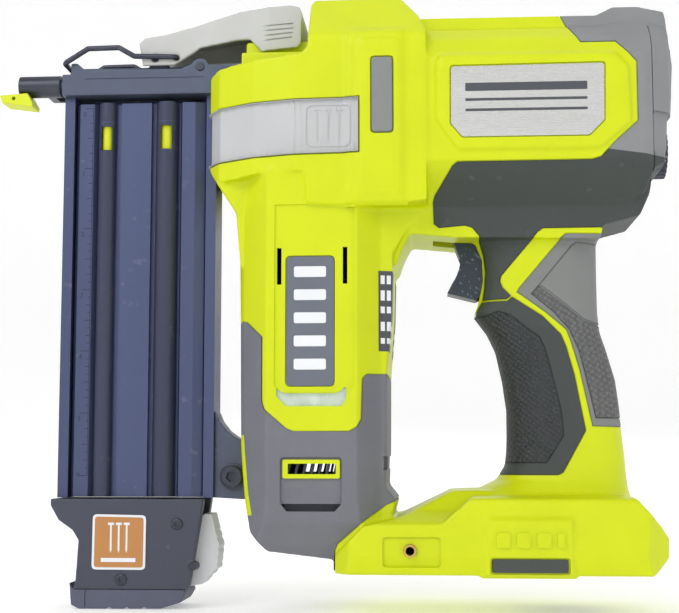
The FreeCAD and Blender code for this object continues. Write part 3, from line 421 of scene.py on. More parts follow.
BADGE_FRAME = [(-49.8, 175.2), (-49.8, 197.8), (-48, 200), (18.5, 199.8), (23.4, 194.7), (24.1, 173.4),
               (12.5, 163.6), (-41.6, 163.6)]
BADGE = [(-44.8, 196.1), (15, 196.5), (14.6, 173.6), (8.7, 167.6), (-40.4, 167.6), (-45, 173)]
MOTOR_SIDE = [(-131, 157), (-130.5, 140), (-129.3, 95), (-128.5, 49), (-126.2, 27), (-123.7, 15.2),
              (-116.9, 8.1), (-89.9, 4.7), (-74, 4.7), (-66.6, 27.6), (-71, 33), (-70.4, 46), (-70.2, 77),
              (-68.4, 100), (-67.8, 124), (-63.5, 132), (-57, 140), (-57, 157)]
MOTOR_PLAN = [(-132, 6), (-132, -10), (-127.5, -22.5), (-116.5, -36), (-81.5, -36), (-72.5, -27), (-56, -22),
              (-56, 6)]
MOTOR_SECTION = [(6, 0), (-21, 0), (-30, 10), (-35, 19.5), (-36, 30), (-36, 157), (6, 157)]
FOOT_FRONT = [(-91, 0), (-91, 6.5), (-79, 18.5), (-65.2, 21.4), (-45.4, 31.2), (-30, 32), (-30, 0)]
FOOT_FRONT_SECTION = [(6, 0), (-36.6, 0), (-38.6, 7.5), (-37.6, 19), (-27, 24), (-20, 31.5), (6, 32.5)]
FOOT_REAR = [(-49.5, 0), (-49.5, 19.4), (-37.7, 29.3), (5.7, 29.8), (23.5, 29.5), (33.9, 17.8), (36.8, 13.6),
             (36.6, 6.2), (30.3, 0)]
FOOT_REAR_SECTION = [(6, 0), (-36.6, 0), (-38.6, 7.5), (-36.4, 28.5), (-24, 31.5), (6, 33)]
FOOT_PLAN = [(-91, 6), (-91, -30), (-84, -38.8), (27, -38.8), (36.8, -28.5), (36.8, 6)]
EMBLEM = [(-33.1, 0.8), (-31.4, 20.6), (-1.0, 20.6), (-0.8, 0.8)]
COLLAR = [(-146, 161.6), (-146, 183.4), (-80.6, 184.3), (-80.6, 162.7)]

# front and rear edge of the handle at a few heights, and its half width there
HANDLE = [(140, -43, 14.1, 18), (131, -36, 14.1, 18), (124, -32.9, 14.1, 17.6), (115, -32.6, 14.1, 17.2),
          (106, -34.6, 14.2, 17), (101.8, -36.2, 14.3, 17), (94.1, -30.4, 15, 17.2), (86.8, -27, 17.4, 17.6),
          (74.7, -24.4, 20.8, 18), (63, -22.8, 22.2, 18), (52, -22.8, 23, 18.3), (46.5, -23, 23.6, 19.4),
          (41, -23.6, 24, 20.2), (35.5, -27, 24.4, 21.6), (31, -36, 25, 24.5), (27, -44, 26.5, 29)]
SQUARENESS = 2.9
HANDLE_STEPS = 40


def handle():
    """A rounded, flat-sided column through the heights of HANDLE."""
    rings = []
    for height, front, rear, half in HANDLE:
        middle, reach = (front + rear) / 2, (rear - front) / 2
        ring = []
        for step in range(HANDLE_STEPS):
            turn = 2 * math.pi * step / HANDLE_STEPS
            c, s = math.cos(turn), math.sin(turn)
            power = 2 / SQUARENESS
            ring.append((middle + reach * math.copysign(abs(c) ** power, c),
                         min(PAST_MIDDLE, half * math.copysign(abs(s) ** power, s)), height))
        rings.append(ring)
    return loft(rings)


def trimmed(side, plan, section, heights, lengths):
    """A side outline cut to a plan and to a section across the tool."""
    return common(prism("side", side, BESIDE, PAST_MIDDLE), prism("top", plan, *heights),
                  prism("front", section, *lengths))


def outer_form():
    """The housing's outer form, left side, running past the middle plane."""
    whole_length, head_heights, foot_heights = (-150, 50), (100, 230), (-5, 40)
    core = common(prism("side", HEAD_SIDE, -30, PAST_MIDDLE), prism("front", HEAD_SECTION, *whole_length),
                  prism("top", HEAD_PLAN, 100, 235))
    saddle = prism("side", SADDLE, -18.4, PAST_MIDDLE)
    block = trimmed(BLOCK_SIDE, HEAD_PLAN, BLOCK_SECTION, head_heights, whole_length)
    drum = trimmed(DRUM_SIDE, HEAD_PLAN, DRUM_SECTION, head_heights, whole_length)
    motor = trimmed(MOTOR_SIDE, MOTOR_PLAN, MOTOR_SECTION, (-5, 160), (-150, 0))
    front = trimmed(FOOT_FRONT, FOOT_PLAN, FOOT_FRONT_SECTION, foot_heights, (-100, 50))
    rear = trimmed(FOOT_REAR, FOOT_PLAN, FOOT_REAR_SECTION, foot_heights, (-100, 50))
    fields = [plateau(PANEL_LOW, -36.5, -38.9, 2.2), plateau(PANEL_HIGH, -37.5, -39.8, 1.5),
              plateau(BADGE_FRAME, -36, -38.9, 2.0), plateau(EMBLEM, -36.5, -39.3, 2.2)]
    return moulded([core, saddle, block, drum, motor, handle(), front, rear] + fields, FORM_VOXEL, 5, 0.45)


# zones of the soft overmould, seen from the side
HEAD_RUBBER = [(-1, 235), (-1, 220.5), (6.1, 206), (19.6, 206), (27.3, 197), (27.3, 173.6), (18.9, 166.1),
               (13, 159.8), (9.6, 158.9), (-42.3, 158.7), (-44.2, 157.3), (-51.2, 147), (-51.9, 144.8),
               (-51.6, 136.5), (-49.6, 134.9), (-39.3, 135.8), (-36.5, 134.9), (-33.6, 131.4), (-31.6, 125.2),
               (-30.9, 118.7), (-31.4, 111.5), (-32.2, 106.8), (-22.9, 106.9), (-21.1, 108.2), (-24.3, 111.6),
               (-25.3, 114.2), (-24.8, 116.3), (-10.5, 133), (-8.4, 134.4), (14.1, 134.5), (50, 134.6),
               (50, 235)]
GRIP_FRONT = [(-32.4, 106.2), (-22.7, 106.2), (-20.7, 107.8), (-8.8, 100), (-1.7, 92.7), (0.2, 88),
              (3.2, 76.9), (7.3, 54.7), (-2, 38.4), (-4, 37.4), (-28, 37.4), (-45, 50), (-45, 98), (-36, 100)]
GRIP_REAR = [(-18.8, 109.6), (-17.8, 111.4), (-1.1, 131), (0.4, 132.2), (14, 132), (30, 132), (30, 56),
             (9.9, 56.4), (5.2, 78.8), (1.8, 90.7), (0.3, 94.6), (-7.4, 101.3)]
MOTOR_RUBBER = [(-135, 99), (-125.6, 97.5), (-118.6, 91), (-118.5, 65.8), (-117.4, 62.8), (-108.9, 55.5),
                (-106, 54.3), (-84.6, 54.3), (-81.6, 56), (-80, 59), (-79.5, 74.6), (-78, 76.4), (-68, 76.6),
                (-60, 76.6), (-60, 30), (-64.7, 28.4), (-70.5, 26.1), (-79.9, 19.4), (-89.3, 11.2),
                (-90.4, 8.5), (-90.6, -5), (-135, -5)]
# upper rear of the head rubber, above the chamfer edge: its lighter grey is partly its own colour and partly
# painted light on the upward-facing top; the dark rubber left below stands partly for painted shade on the
# underside
REAR_CAP_AND_LIT_TOP = [(-2, 236), (-2, 219), (6.1, 206), (19.6, 206), (27.3, 197), (27.3, 173.6), (18.9, 166.1),
            (15.5, 162.8), (33.4, 160.2), (50, 159.4), (50, 236)]
MOTOR_STRIP = [(-136, 53), (-126.9, 53), (-126.3, 46), (-124.6, 30), (-122.9, 22), (-136, 20)]
FRONT_PANEL = [(-40, 100.2), (-31, 100.4), (-26.4, 102.1), (-21.5, 100.7), (-15.3, 95.4), (-10.2, 91.7),
               (-8, 86.8), (-5.2, 75.6), (-2.2, 62.5), (-1.4, 52.8), (-3.1, 50.2), (-8.3, 42.1), (-28, 42.1),
               (-40, 60)]
REAR_PANEL = [(-13.2, 108.9), (-10.2, 112.2), (0.4, 103.9), (7.5, 98.2), (13.6, 96.8), (28, 96.4), (30, 59.6),
              (11.3, 59.6), (5.3, 86), (1.6, 94.6), (-4.8, 101.9)]
UPPER_PANEL = [(-9.8, 112.6), (3.1, 128.2), (5, 129.4), (28, 128.6), (28, 97), (13.6, 97.2), (7.6, 98.7),
               (0.8, 104.2)]
SEAM_WIDTH, SEAM_DEPTH = 0.28, 0.5

# openings and marks of the left side
SLOTS = [box(-112.7, -110.9, 111.1, 125.5), box(-87, -85.2, 111.3, 125.8)]
NAME_FIELD = [(-113.6, 72), (-113.6, 142.6), (-101.2, 142.6), (-82.6, 142.6), (-82.6, 72), (-85, 69),
              (-110.6, 69)]
NAME_PLATE = [(-109.1, 71.6), (-109.1, 122.2), (-90.3, 122.2), (-90.3, 71.6)]
WINDOW = [(-112.7, 71), (-111, 69.6), (-109.3, 68.9), (-89.6, 68.9), (-87.6, 70), (-86.4, 71.2),
          (-85.6, 71.2), (-85.6, 66.6), (-87.4, 63.9), (-109.1, 63.9), (-112.7, 67.8)]
VENT_FIELD = [(-111.1, 26.6), (-111.1, 44.4), (-87.3, 44.4), (-87.3, 26.6)]
VENT_FRAME = box(-110.1, -88.1, 36.3, 43.4)
VENT_HOLE = box(-108.1, -89.6, 37.9, 41.9)
VENT_SLOT = [(-111, 26.6), (-87.4, 26.6), (-90.2, 23.7), (-108.6, 23.7)]
HOOK_FIELD = [(-71.8, 3), (-71.8, 14.4), (-49.8, 14.4), (-49.8, 3)]
FOOT_BAR = box(-30.9, -2.1, 1.2, 6.5)
BAR_PAD = box(-75.6, -67.2, 170, 200)
SAFETY_LABEL = box(-73.4, -60, 85.5, 117.2)
REAR_RECESS = box(33.6, 46, 160.5, 178)
REAR_SEAM = [(33.2, 150), (33.2, 214), (33.6, 214), (33.6, 150)]
COLLAR_SIGN = rounded(box(-101.3, -83.4, 164.6, 181.6), 3)

# x and z of each housing screw, and how far its head seats from the middle plane
SCREWS = [(-114, 189, 28.0), (-125.5, 163, 22.0), (-63, 150, 30.0), (25, 143.5, 17.0), (8, 117, 10.5),
          (0, 68, 12.0), (-78, 11.5, 22.0), (29, 10, 33.0), (-117, 42, 25.0), (-74, 42, 18.0)]

# openings cut through the left shell
OPENINGS = [
    ("top", box(-17.7, 17.7, -15, 15), -1, 16),             # battery socket
    ("side", box(-52, -22, 101, 140), -7.2, 9),             # trigger
    ("side", box(-146, -112, 191.6, 209.2), -12.8, 9),      # nose
    ("top", box(-146, -140.7, -10.6, 9), 100, 210),         # recess in the middle of the front wall
    ("front", circle(0, 168.5, 11.3), 36, 48),              # pressure dial
    ("side", circle(-61.4, 9.2, 2.6), -42, -31),            # belt hook insert
    ("side", WINDOW, BESIDE, -31),
    ("side", VENT_HOLE, BESIDE, -28),
    ("side", VENT_SLOT, BESIDE, -28),
    ("side", box(-72, -67, 39.4, 44.7), BESIDE, -12),       # slot at the motor housing's rear edge
] + [("side", slot, BESIDE, -30) for slot in SLOTS]


def seam(outline):
    """A narrow band along an outline, deep enough to reach the surface anywhere on the left side."""
    band = prism("side", inset(outline, -SEAM_WIDTH), FAR_BESIDE, -0.05)
    return carve(band, [prism("side", inset(outline, SEAM_WIDTH), FAR_BESIDE - 1, 1)])


def side_tool(outline, low=FAR_BESIDE, high=-4):
    """A form that reaches through the left wall inside an outline."""
    return prism("side", outline, low, high)


def left_side():
    """All pieces of the left side as forms: name -> (form, material, slot, nodes)."""
    outer = outer_form()
    hollow = moulded([grown(outer, -WALL)], HOLLOW_VOXEL, 1, 0.5)
    sink(outer, NAME_DEPTH, [side_tool(NAME_FIELD, -36.5)])
    sink(outer, COLLAR_DEPTH, [side_tool(inset(COLLAR, -0.5), FAR_BESIDE, -8)])
    plate_floor = duplicate(outer)
    label_floor = duplicate(outer)
    sink(outer, PLATE_DEPTH, [side_tool(rounded(inset(outline, -gap), radius)) for outline, gap, radius in (
        (BADGE, 0.25, 1.5), (NAME_PLATE, 0.25, 2), (HOOK_FIELD, 0, 1.5), (VENT_FIELD, 0, 1.5),
        (BAR_PAD, 0.4, 1.6), (FOOT_BAR, 0.5, 1.2))])
    zones = [HEAD_RUBBER, GRIP_FRONT, GRIP_REAR, MOTOR_RUBBER, FRONT_PANEL, REAR_PANEL, UPPER_PANEL]
    sink(outer, RECESS_DEPTH, [side_tool(rounded(REAR_RECESS, 1.2), FAR_BESIDE, -6)])
    sink(outer, SEAM_DEPTH, [seam(zone) for zone in zones] + [side_tool(REAR_SEAM)])
    carve(outer, [hollow])
    carve(outer, [prism(*opening) for opening in OPENINGS])
    beyond_middle = prism("side", box(-160, 60, -10, 240), 0, 20)
    carve(outer, [beyond_middle])
    result = {}

    def split(whole, zone, name, material, slot="grey_rubber"):
        """Part a zone of the whole from it, as a piece of its own."""
        part = common(duplicate(whole), prism("side", zone, FAR_BESIDE, 1))
        carve(whole, [prism("side", zone, FAR_BESIDE, 1)])
        result[name] = (part, material, slot, ["overmould"])
        return part

    head = split(outer, HEAD_RUBBER, "head_rubber", RUBBER)
    grip = split(outer, GRIP_FRONT, "grip_front", RUBBER)
    rear = split(outer, GRIP_REAR, "grip_rear", RUBBER_SMOOTH)
    base = split(outer, MOTOR_RUBBER, "motor_rubber", RUBBER_BASE)
    split(grip, FRONT_PANEL, "grip_front_panel", RUBBER_KNOBS)
    split(rear, REAR_PANEL, "grip_rear_panel", RUBBER_REAR)
    split(rear, UPPER_PANEL, "grip_upper_panel", RUBBER_SMOOTH)
    # painted light: the upper rear of the head rubber gets a lighter grey, partly its own colour and partly
    # the light on its top, while the dark rubber below stands partly for the shade under the chamfer
    split(head, REAR_CAP_AND_LIT_TOP, "rear_cap", CAP_RUBBER_AND_TOP_LIGHT)
    split(base, MOTOR_STRIP, "motor_strip", LIME, "lime_plastic")
    result["shell"] = (outer, LIME, "lime_plastic", ["housing"])

    def cladding(floor, lift, zone, low, high):
        """A thin skin over the floor inside a zone."""
        skin = common(grown(floor, lift), prism("side", zone, low, high))
        return carve(skin, [grown(floor, -0.8)])

    collar = cladding(plate_floor, 1.0, inset(COLLAR, 0.1), FAR_BESIDE, -10.7)
    ring = carve(prism("side", COLLAR_SIGN, FAR_BESIDE, -20),
                 [prism("side", inset(COLLAR_SIGN, 0.55), FAR_BESIDE - 1, -19)])
    signs = [nail_sign(x, 173.2, 13, FAR_BESIDE, -20) for x in (-96.6, -92.3, -88)]
    engraved = carve(joined([ring] + signs), [grown(plate_floor, 0.68)])
    carve(collar, [engraved])
    result["collar"] = (collar, COLLAR_GREY, "light_grey_plastic", [])
    label_depths = (-30, -14)
    label = cladding(label_floor, 0.12, SAFETY_LABEL, *label_depths)
    result["safety_label"] = (label, DARK_INK, "dark_plate", [])
    marks = [cladding(label_floor, 0.2, box(x, x + 1.6, z, z + height), *label_depths)
             for x in (-72.6, -70.2)
             for z, height in ((112, 3.4), (105.5, 4), (100.5, 2.6), (93.5, 3.6), (88.5, 2.2))]
    result["safety_label_marks"] = (joined(marks), WHITE_INK, "dark_plate", [])
    drop(plate_floor, label_floor)
    return result


def side_plates():
    """Badges, labels and pads of the left side."""
    result = {}
    badge = plateau(rounded(inset(BADGE, 0.35), 1.4), -37.6, -38.55, 0.25)
    result["badge"] = (badge, FOIL, "silver_badge", [])
    lines = [prism("side", rounded(box(-39, 8, z - half, z + half), 0.4), -38.7, -38.3)
             for z, half in ((187.5, 1.6), (182.5, 0.5), (178.4, 0.5))]
    result["badge_lines"] = (joined(lines), DARK_INK, "silver_badge", [])
    plate = plateau(rounded(inset(NAME_PLATE, 0.1), 2), -34.2, -35.2, 0.2)
    result["name_plate"] = (plate, PLATE, "dark_plate", [])
    bars = [prism("side", rounded(box(-106, -93.5, z, z + 4.2), 0.8), -35.4, -35.0)
            for z in (78, 87, 96, 105, 114)]
    result["name_plate_bars"] = (joined(bars), WHITE_INK, "dark_plate", [])
    pad = plateau(rounded(inset(BAR_PAD, 0.2), 1.4), -38, -40.4, 0.5)
    result["bar_pad"] = (moulded([pad], 0.4, 3), PAD_GREY, "pad_grey", [])
    foot_bar = plateau(rounded(inset(FOOT_BAR, 0.2), 0.8), -36.5, -39.2, 0.2)
    result["foot_bar"] = (moulded([foot_bar], 0.35, 2), FOOT_GREY, "pad_grey", [])
    light = prism("side", inset(WINDOW, -0.6), -34.4, -32)
    result["light_window"] = (moulded([light], 0.4, 4), CLEAR, "silver_badge", [])
    vent_frame = plateau(rounded(VENT_FRAME, 0.8), -34, -36, 0.2)
    carve(vent_frame, [prism("side", rounded(VENT_HOLE, 0.4), -40, -30)])
    result["vent_frame"] = (vent_frame, LIME, "lime_plastic", [])
    louvres = [prism("side", [(x, 37), (x + 0.9, 37), (x + 2.1, 42.6), (x + 1.2, 42.6)], -33.2, -30)
               for x in range(-109, -90, 3)]
    louvres.append(prism("side", box(-110, -88, 23, 28), -31, -29.6))
    result["vent_louvres"] = (joined(louvres), NYLON, "black_nylon", [])
    places = [(-29, 5.2, 1.2), (-21.4, 5.2, 1.2), (-13.8, 5.2, 1.2), (-6.2, 2.8, 0.8)]
    marks = [prism("side", rounded(box(x, x + width, 10.6, 16.2), corner), -40.1, -39.0)
             for x, width, corner in places]
    result["foot_marks"] = (joined(marks), LIME, "lime_plastic", [])
    return result


# ---------------------------------------------------------------- camera, floor and light

def studio():
    """The camera, the floor with its backdrop, and the light."""
    floor_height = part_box("end_shoe")[0].z
    camera_data = bpy.data.cameras.new("camera")
    camera_data.lens = 73.17
    camera_data.sensor_width = 36.0
    camera_data.clip_start = 0.01
    camera = bpy.data.objects.new("camera", camera_data)
    bpy.context.scene.collection.objects.link(camera)
    target = Vector((-90.7, 0, 106.1)) * MM
    azimuth, elevation, distance = math.radians(4), math.radians(-6), 0.57
    back = Vector((math.sin(azimuth) * math.cos(elevation), -math.cos(azimuth) * math.cos(elevation),
                   math.sin(elevation)))
    camera.location = target + back * distance
    camera.rotation_euler = (-back).to_track_quat("-Z", "Y").to_euler()
    bpy.context.scene.camera = camera

    # a floor that sweeps up into a backdrop all round: radius and rise of its rings, in metres
    rings = [(0.9, 0.0), (1.4, 0.02), (1.8, 0.12), (2.1, 0.32), (2.3, 0.7), (2.4, 1.4), (2.4, 2.6)]
    steps = 64
    points, faces = [(0, 0, floor_height)], []
    for radius, rise in rings:
        points += [(radius * math.cos(2 * math.pi * k / steps), radius * math.sin(2 * math.pi * k / steps),
                    floor_height + rise) for k in range(steps)]
    for k in range(steps):
        after = (k + 1) % steps
        faces.append([0, 1 + k, 1 + after])
        for ring in range(len(rings) - 1):
            low, high = 1 + ring * steps, 1 + (ring + 1) * steps
            faces.append([low + k, high + k, high + after, low + after])
    sweep = solid(points, faces)
    sweep.name = "floor"
    sweep.data.shade_smooth()
    paint = surface("floor_paint", (240, 240, 240), 0.75, mottle=0.01, relief=0.05)
    shader = paint.node_tree.nodes["Principled BSDF"]
    shader.inputs["Emission Color"].default_value = (1, 1, 1, 1)
    shader.inputs["Emission Strength"].default_value = 0.3
    sweep.data.materials.append(paint)

    middle = (-0.09, 0, 0.11)       # of the tool, in metres

    def area(name, place, size, power):
        """A soft lamp that points at the tool."""
        data = bpy.data.lights.new(name, "AREA")
        data.shape = "RECTANGLE"
        data.size, data.size_y = size
        data.energy = power
        lamp = bpy.data.objects.new(name, data)
        lamp.location = place
        lamp.rotation_euler = (Vector(middle) - Vector(place)).to_track_quat("-Z", "Y").to_euler()
        bpy.context.scene.collection.objects.link(lamp)

    area("key", (-0.7, -1.1, 1.1), (0.9, 0.9), 7.0)
    area("fill", (0.9, -1.2, 0.35), (1.0, 1.2), 1.2)
    area("top", (-0.1, 0.1, 1.5), (1.2, 1.2), 4)
    area("rear", (0.2, 1.3, 0.8), (1.2, 1.0), 2.5)
    world = bpy.data.worlds.new("world")
    world.use_nodes = True
    sky = world.node_tree.nodes["Background"]
    sky.inputs["Color"].default_value = (1, 1, 1, 1)
    sky.inputs["Strength"].default_value = 0.25
    bpy.context.scene.world = world
    bpy.context.scene.view_settings.view_transform = "Standard"


# ---------------------------------------------------------------- smaller pieces

def refined(node, voxel, rounds):
    """A copy of a CAD node with its edges rolled, in millimetres."""
    copy = duplicate(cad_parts[node])
    copy.data.transform(Matrix.Scale(1 / MM, 4))
    grid = bmesh.new()
    grid.from_mesh(copy.data)
    bmesh.ops.remove_doubles(grid, verts=grid.verts, dist=0.002)
    grid.to_mesh(copy.data)
    grid.free()
    return moulded([copy], voxel, rounds)


STAR_STEPS = 48


def torx_screw(x, z, seat, radius, height, facing):
    """A pan head with a six-lobed recess, standing on plane y = seat and facing -1 or 1 along Y."""
    rings = []
    for share, rise in ((1.0, 0.0), (1.0, 0.55), (0.93, 0.8), (0.75, 0.96), (0.6, 1.0)):
        y = seat + facing * rise * height
        rings.append([(x + a, y, z + b) for a, b in circle(0, 0, radius * share, 36)])
    head = loft(rings)
    star = []
    for step in range(STAR_STEPS):
        turn = 2 * math.pi * step / STAR_STEPS
        reach = (0.42 + 0.1 * math.cos(6 * turn)) * radius
        star.append((x + reach * math.cos(turn), z + reach * math.sin(turn)))
    low, high = sorted((seat + facing * height * 0.35, seat + facing * (height + 1)))
    return carve(head, [prism("side", star, low, high)])


def lever():
    """The latch lever with its rows of grip grooves on both flanks."""
    form = refined("latch_lever", 0.42, 4)
    tools = []
    for front, rear, z in ((-125.4, -108, 218.2), (-123.6, -108, 216.3), (-121.8, -108.3, 214.4),
                           (-120.6, -108.6, 212.5)):
        groove = [(front, z), (rear, z + 1.2), (rear, z + 1.8), (front, z + 0.6)]
        tools += [prism("side", groove, low, high) for low, high in ((-24, -21.3), (21.3, 24))]
    return carve(form, tools)


def ruler():
    """An inch scale down the front strip of the magazine cover: its ticks, its edge line and its numbers."""
    top, right, face = 189.2, -193.2, -8.5
    inch, inches, parts = 25.4, 6, 8
    half_tick, half_edge, numeral_size = 0.15, 0.12, 2.9
    depths = (face - 0.04, face + 0.1)
    marks = []
    for step in range(inches * parts + 1):
        z = top - step * inch / parts
        reach = 3.4 if step % 8 == 0 else 2.4 if step % 4 == 0 else 1.6 if step % 2 == 0 else 1.0
        marks.append(prism("side", box(right - reach, right, z - half_tick, z + half_tick), *depths))
    edge_line = box(right - half_edge, right + half_edge, top - inches * inch, top)
    marks.append(prism("side", edge_line, *depths))
    for number in range(inches + 1):
        text = bpy.data.curves.new("numeral", "FONT")
        text.body = str(number)
        text.size = numeral_size
        text.extrude = 0.05
        text.align_x = "CENTER"
        text.align_y = "CENTER"
        holder = bpy.data.objects.new("numeral", text)
        bpy.context.scene.collection.objects.link(holder)
        graph = bpy.context.evaluated_depsgraph_get()
        mesh = bpy.data.meshes.new_from_object(holder.evaluated_get(graph))
        bpy.data.curves.remove(text)
        digit = bpy.data.objects.new("form", mesh)
        bpy.context.scene.collection.objects.link(digit)
        turn = Matrix.Rotation(math.radians(90), 4, "X")
        shift = 2.4 if number < inches else -0.6
        place = Matrix.Translation((right - 3.6, face, top - number * inch - shift))
        mesh.transform(place @ turn)
        marks.append(digit)
    return joined(marks)


def nail_sign(middle_x, middle_z, size, low, high):
    """A brad seen from the side: a small head, a shank and a point."""
    half = size / 2
    outline = [(-0.06, -0.8), (0, -1), (0.06, -0.8), (0.06, 0.84), (0.2, 0.84), (0.2, 1), (-0.2, 1),
               (-0.2, 0.84), (-0.06, 0.84)]
    return prism("side", [(middle_x + a * half, middle_z + b * half) for a, b in outline], low, high)


def orange_badge():
    """Rim, field and signs of the square badge on the magazine's end cap."""
    outline = [(-189.3, -0.4), (-189.1, 21.5), (-167.5, 21.1), (-167.6, -0.5)]
    back = prism("side", rounded(outline, 1.8), -13.45, -12.8)
    field = prism("side", rounded(inset(outline, 0.95), 1.2), -13.6, -12.9)
    depths = (-13.75, -13.3)
    signs = [nail_sign(x, 12.2, 12, *depths) for x in (-181.6, -178.4, -175.2)]
    signs.append(prism("side", box(-185.5, -171.5, 2.6, 4.2), *depths))
    return back, field, joined(signs)


def socket_bolt():
    """The bolt of the magazine bracket: a flanged head with a hexagon socket, and its shank."""
    x, z = -133.5, 36.5
    rings = [[(x + a, y, z + b) for a, b in circle(0, 0, r, 48)]
             for r, y in ((5.4, -7), (5.4, -7.7), (4.4, -7.9), (4.4, -10.6), (4.1, -11), (3.4, -11.15))]
    head = loft(rings)
    hexagon = [(x + 2.3 * math.cos(math.pi * k / 3 + 0.3), z + 2.3 * math.sin(math.pi * k / 3 + 0.3))
               for k in range(6)]
    carve(head, [prism("side", hexagon, -13, -8.6)])
    return joined([head, prism("side", circle(x, z, 2.4, 32), -7.2, 10.4)])


# ---------------------------------------------------------------- build

studio()

# CAD nodes that hold the left and the right copy of a piece together
plate_nodes = {"collar": "front_collars", "bar_pad": "bumper_bars", "badge": "side_badges",
               "name_plate": "motor_plates"}
screwed = ("shell", "head_rubber", "grip_front", "grip_rear", "motor_rubber", "grip_rear_panel", "rear_cap")
pieces = {**left_side(), **side_plates()}
for name, (form, material, slot, nodes) in pieces.items():
    other = mirrored(form)
    if name in screwed:
        carve(other, [prism("side", circle(x, z, SCREW_RECESS), seat, 50) for x, z, seat in SCREWS])
    if name == "shell":
        # room for the contact foot's arm
        carve(other, [prism("top", box(-146, -128, 12, 17.6), 198, 209)])
    for side, shape in (("left", form), ("right", other)):
        stands_for = [f"{side}_{node}" for node in nodes]
        if name in plate_nodes:
            stands_for.append(plate_nodes[name])
        finish_piece(shape, f"{side}_{name}", "root", material, stands_for)

screws = joined([torx_screw(x, z, seat, 3.0, 2.2, 1) for x, z, seat in SCREWS])
finish_piece(screws, "housing_screw_heads", "root", DARK_STEEL, ["housing_screws"])

finish_piece(lever(), "lever_arm", "latch_lever", LEVER_GREY, ["latch_lever"])
nose = refined("nose_casting", 0.4, 2)
carve(nose, [prism("side", box(-196, -146, 200.4, 201), low, low + 1.8) for low in (-14, 12.2)])
blade_slot = prism("side", box(-225, -110, 199, 203.3), -0.95, 0.95)
driver_room = prism("side", box(-153.5, -111, 194.4, 203.5), -3.5, 5)
carve(nose, [blade_slot, driver_room])
finish_piece(nose, "nose_body", "root", CAST, ["nose_casting"])
finish_piece(refined("nose_door", 0.35, 2), "door_body", "nose_door", CAST, ["nose_door"])
finish_piece(refined("contact_foot", 0.3, 2), "contact_tip", "contact_foot", DARK_STEEL,
             ["contact_foot"])
pad_outline = [(-234.4, 196.4), (-229, 196.8), (-222.6, 197.2), (-220.2, 193), (-220.5, 191.4),
               (-233.4, 193.2)]
pad = moulded([prism("side", pad_outline, -5.6, 5.6)], 0.3, 3)
snout_seat = prism("front", circle(0, 201, 4.75, 48), -227.3, -215)
cross_hole = prism("side", circle(-228.4, 195, 0.8), -9, 9)
carve(pad, [snout_seat, cross_hole])
finish_piece(pad, "pad_tip", "no_mar_pad", PAD_LIME, ["no_mar_pad"])
finish_piece(refined("depth_wheel", 0.25, 2), "depth_wheel_ribbed", "depth_wheel", NYLON,
             ["depth_wheel"])
finish_piece(refined("pressure_dial", 0.3, 2), "dial_ribbed", "pressure_dial", NYLON,
             ["pressure_dial"])
finish_piece(refined("trigger", 0.35, 3), "trigger_lever", "trigger", TRIGGER, ["trigger"])

finish_piece(refined("magazine_end_cap", 0.45, 4), "end_cap_body", "magazine_cover", CAP_NYLON,
             ["magazine_end_cap"])
shoe = refined("end_shoe", 0.45, 4)
sole_grooves = [prism("side", circle(x, -16.7, 1.5), -20, 20) for x in (-182.4, -175.2, -168.1)]
carve(shoe, sole_grooves)
carve(shoe, [prism("side", box(-192.2, -191.6, -20, 0), -20, -12.1)])
finish_piece(shoe, "end_shoe_body", "magazine_cover", SHOE_RUBBER, ["end_shoe"])
finish_piece(refined("magazine_latch", 0.35, 3), "latch_body", "magazine_latch", LATCH_GREY,
             ["magazine_latch"])
finish_piece(refined("magazine_bracket", 0.4, 3), "bracket_body", "root", CAST,
             ["magazine_bracket"])
finish_piece(socket_bolt(), "bracket_bolt_head", "root", DARK_STEEL, ["bracket_bolt"])

back, field, signs = orange_badge()
finish_piece(back, "end_badge_rim", "magazine_cover", WHITE_INK, ["end_badge"])
finish_piece(field, "end_badge_field", "magazine_cover", ORANGE)
finish_piece(signs, "end_badge_signs", "magazine_cover", WHITE_INK)
cap_screws = joined([torx_screw(x, z, -12.9, 2.3, 0.9, -1) for x, z in ((-155.0, 17.7), (-177.3, -4.4))])
finish_piece(cap_screws, "end_cap_screw_heads", "magazine_cover", DARK_STEEL,
             ["end_cap_screws"])


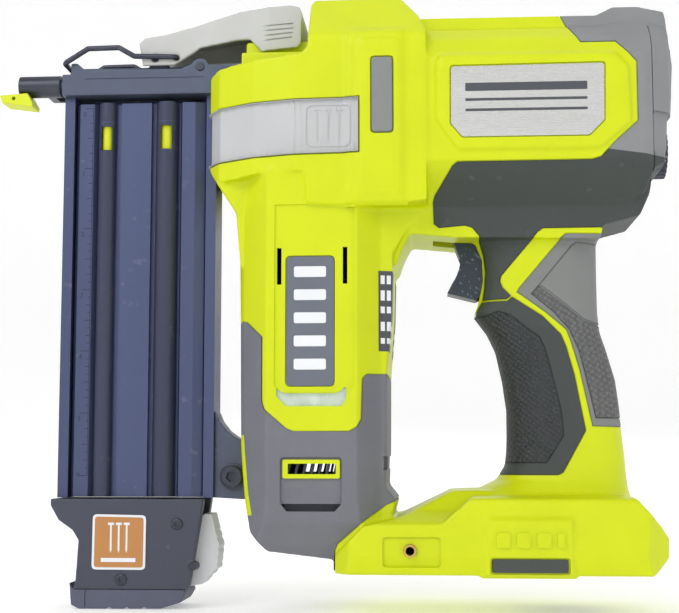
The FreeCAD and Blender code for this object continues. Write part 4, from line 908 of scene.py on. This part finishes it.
TUBE_Y, TUBE_BOTTOM, TUBE_TOP = -7.2, 28.6, 190.8
ARC_STEPS, ARC_TURN = 20, 8       # the steps of a tube's round face, and how many degrees each turns


def tube_arc(place, radius, start, turn):
    """A round stretch of the tube at x = place, seen from the top, from start degrees on."""
    angles = [math.radians(start + turn * step) for step in range(ARC_STEPS + 1)]
    return [(place + radius * math.cos(angle), TUBE_Y + radius * math.sin(angle)) for angle in angles]


tubes = []
for place, radius in ((-187.1, 3.6), (-161.9, 4.6)):
    skin = tube_arc(place, radius + 0.14, 190, ARC_TURN) + tube_arc(place, radius - 0.1, 350, -ARC_TURN)
    window = prism("side", box(place - 2.2, place + 2.4, 171, 181), -14, -8)
    joint_line = prism("side", box(place - 6, place + 6, 182.6, 183.1), -14, -8)
    tubes.append(carve(prism("top", skin, TUBE_BOTTOM, TUBE_TOP), [window, joint_line]))
finish_piece(joined(tubes), "tube_sleeves", "magazine_cover", TUBE)
finish_piece(ruler(), "ruler_marks", "magazine_cover", RULER_INK)

FINISHES = {
    "magazine_rail": ANODISED, "magazine_cover": ANODISED, "pusher": PUSHER, "pusher_springs": STEEL,
    "latch_bail": DARK_STEEL, "lever_pin": DARK_STEEL, "door_pin": DARK_STEEL, "latch_pin": DARK_STEEL,
    "trigger_pin": STEEL,
    "hook_inserts": BRASS, "motor_can": STEEL, "rotor": COPPER, "cooling_fan": NYLON, "sun_gear": GEAR,
    "planet_gear_1": GEAR, "planet_gear_2": GEAR, "planet_gear_3": GEAR, "planet_carrier": GEAR,
    "lifter_wheel": GEAR, "gearbox_case": CAST, "gearbox_cover": CAST, "drive_cylinder": SILVER_ALLOY,
    "piston_bumper": SHOE_RUBBER, "drive_piston": SILVER_ALLOY, "piston_seal": SHOE_RUBBER,
    "driver_blade": DARK_STEEL, "air_chamber": SILVER_ALLOY, "air_manifold": CAST, "trigger_switch": NYLON,
    "trigger_spring": STEEL, "control_board": BOARD, "battery_receptacle": NYLON, "battery_terminals": BRASS,
    "bracket_nut": DARK_STEEL,
}
for node, material in FINISHES.items():
    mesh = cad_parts[node].data
    mesh.materials.clear()
    mesh.materials.append(material)
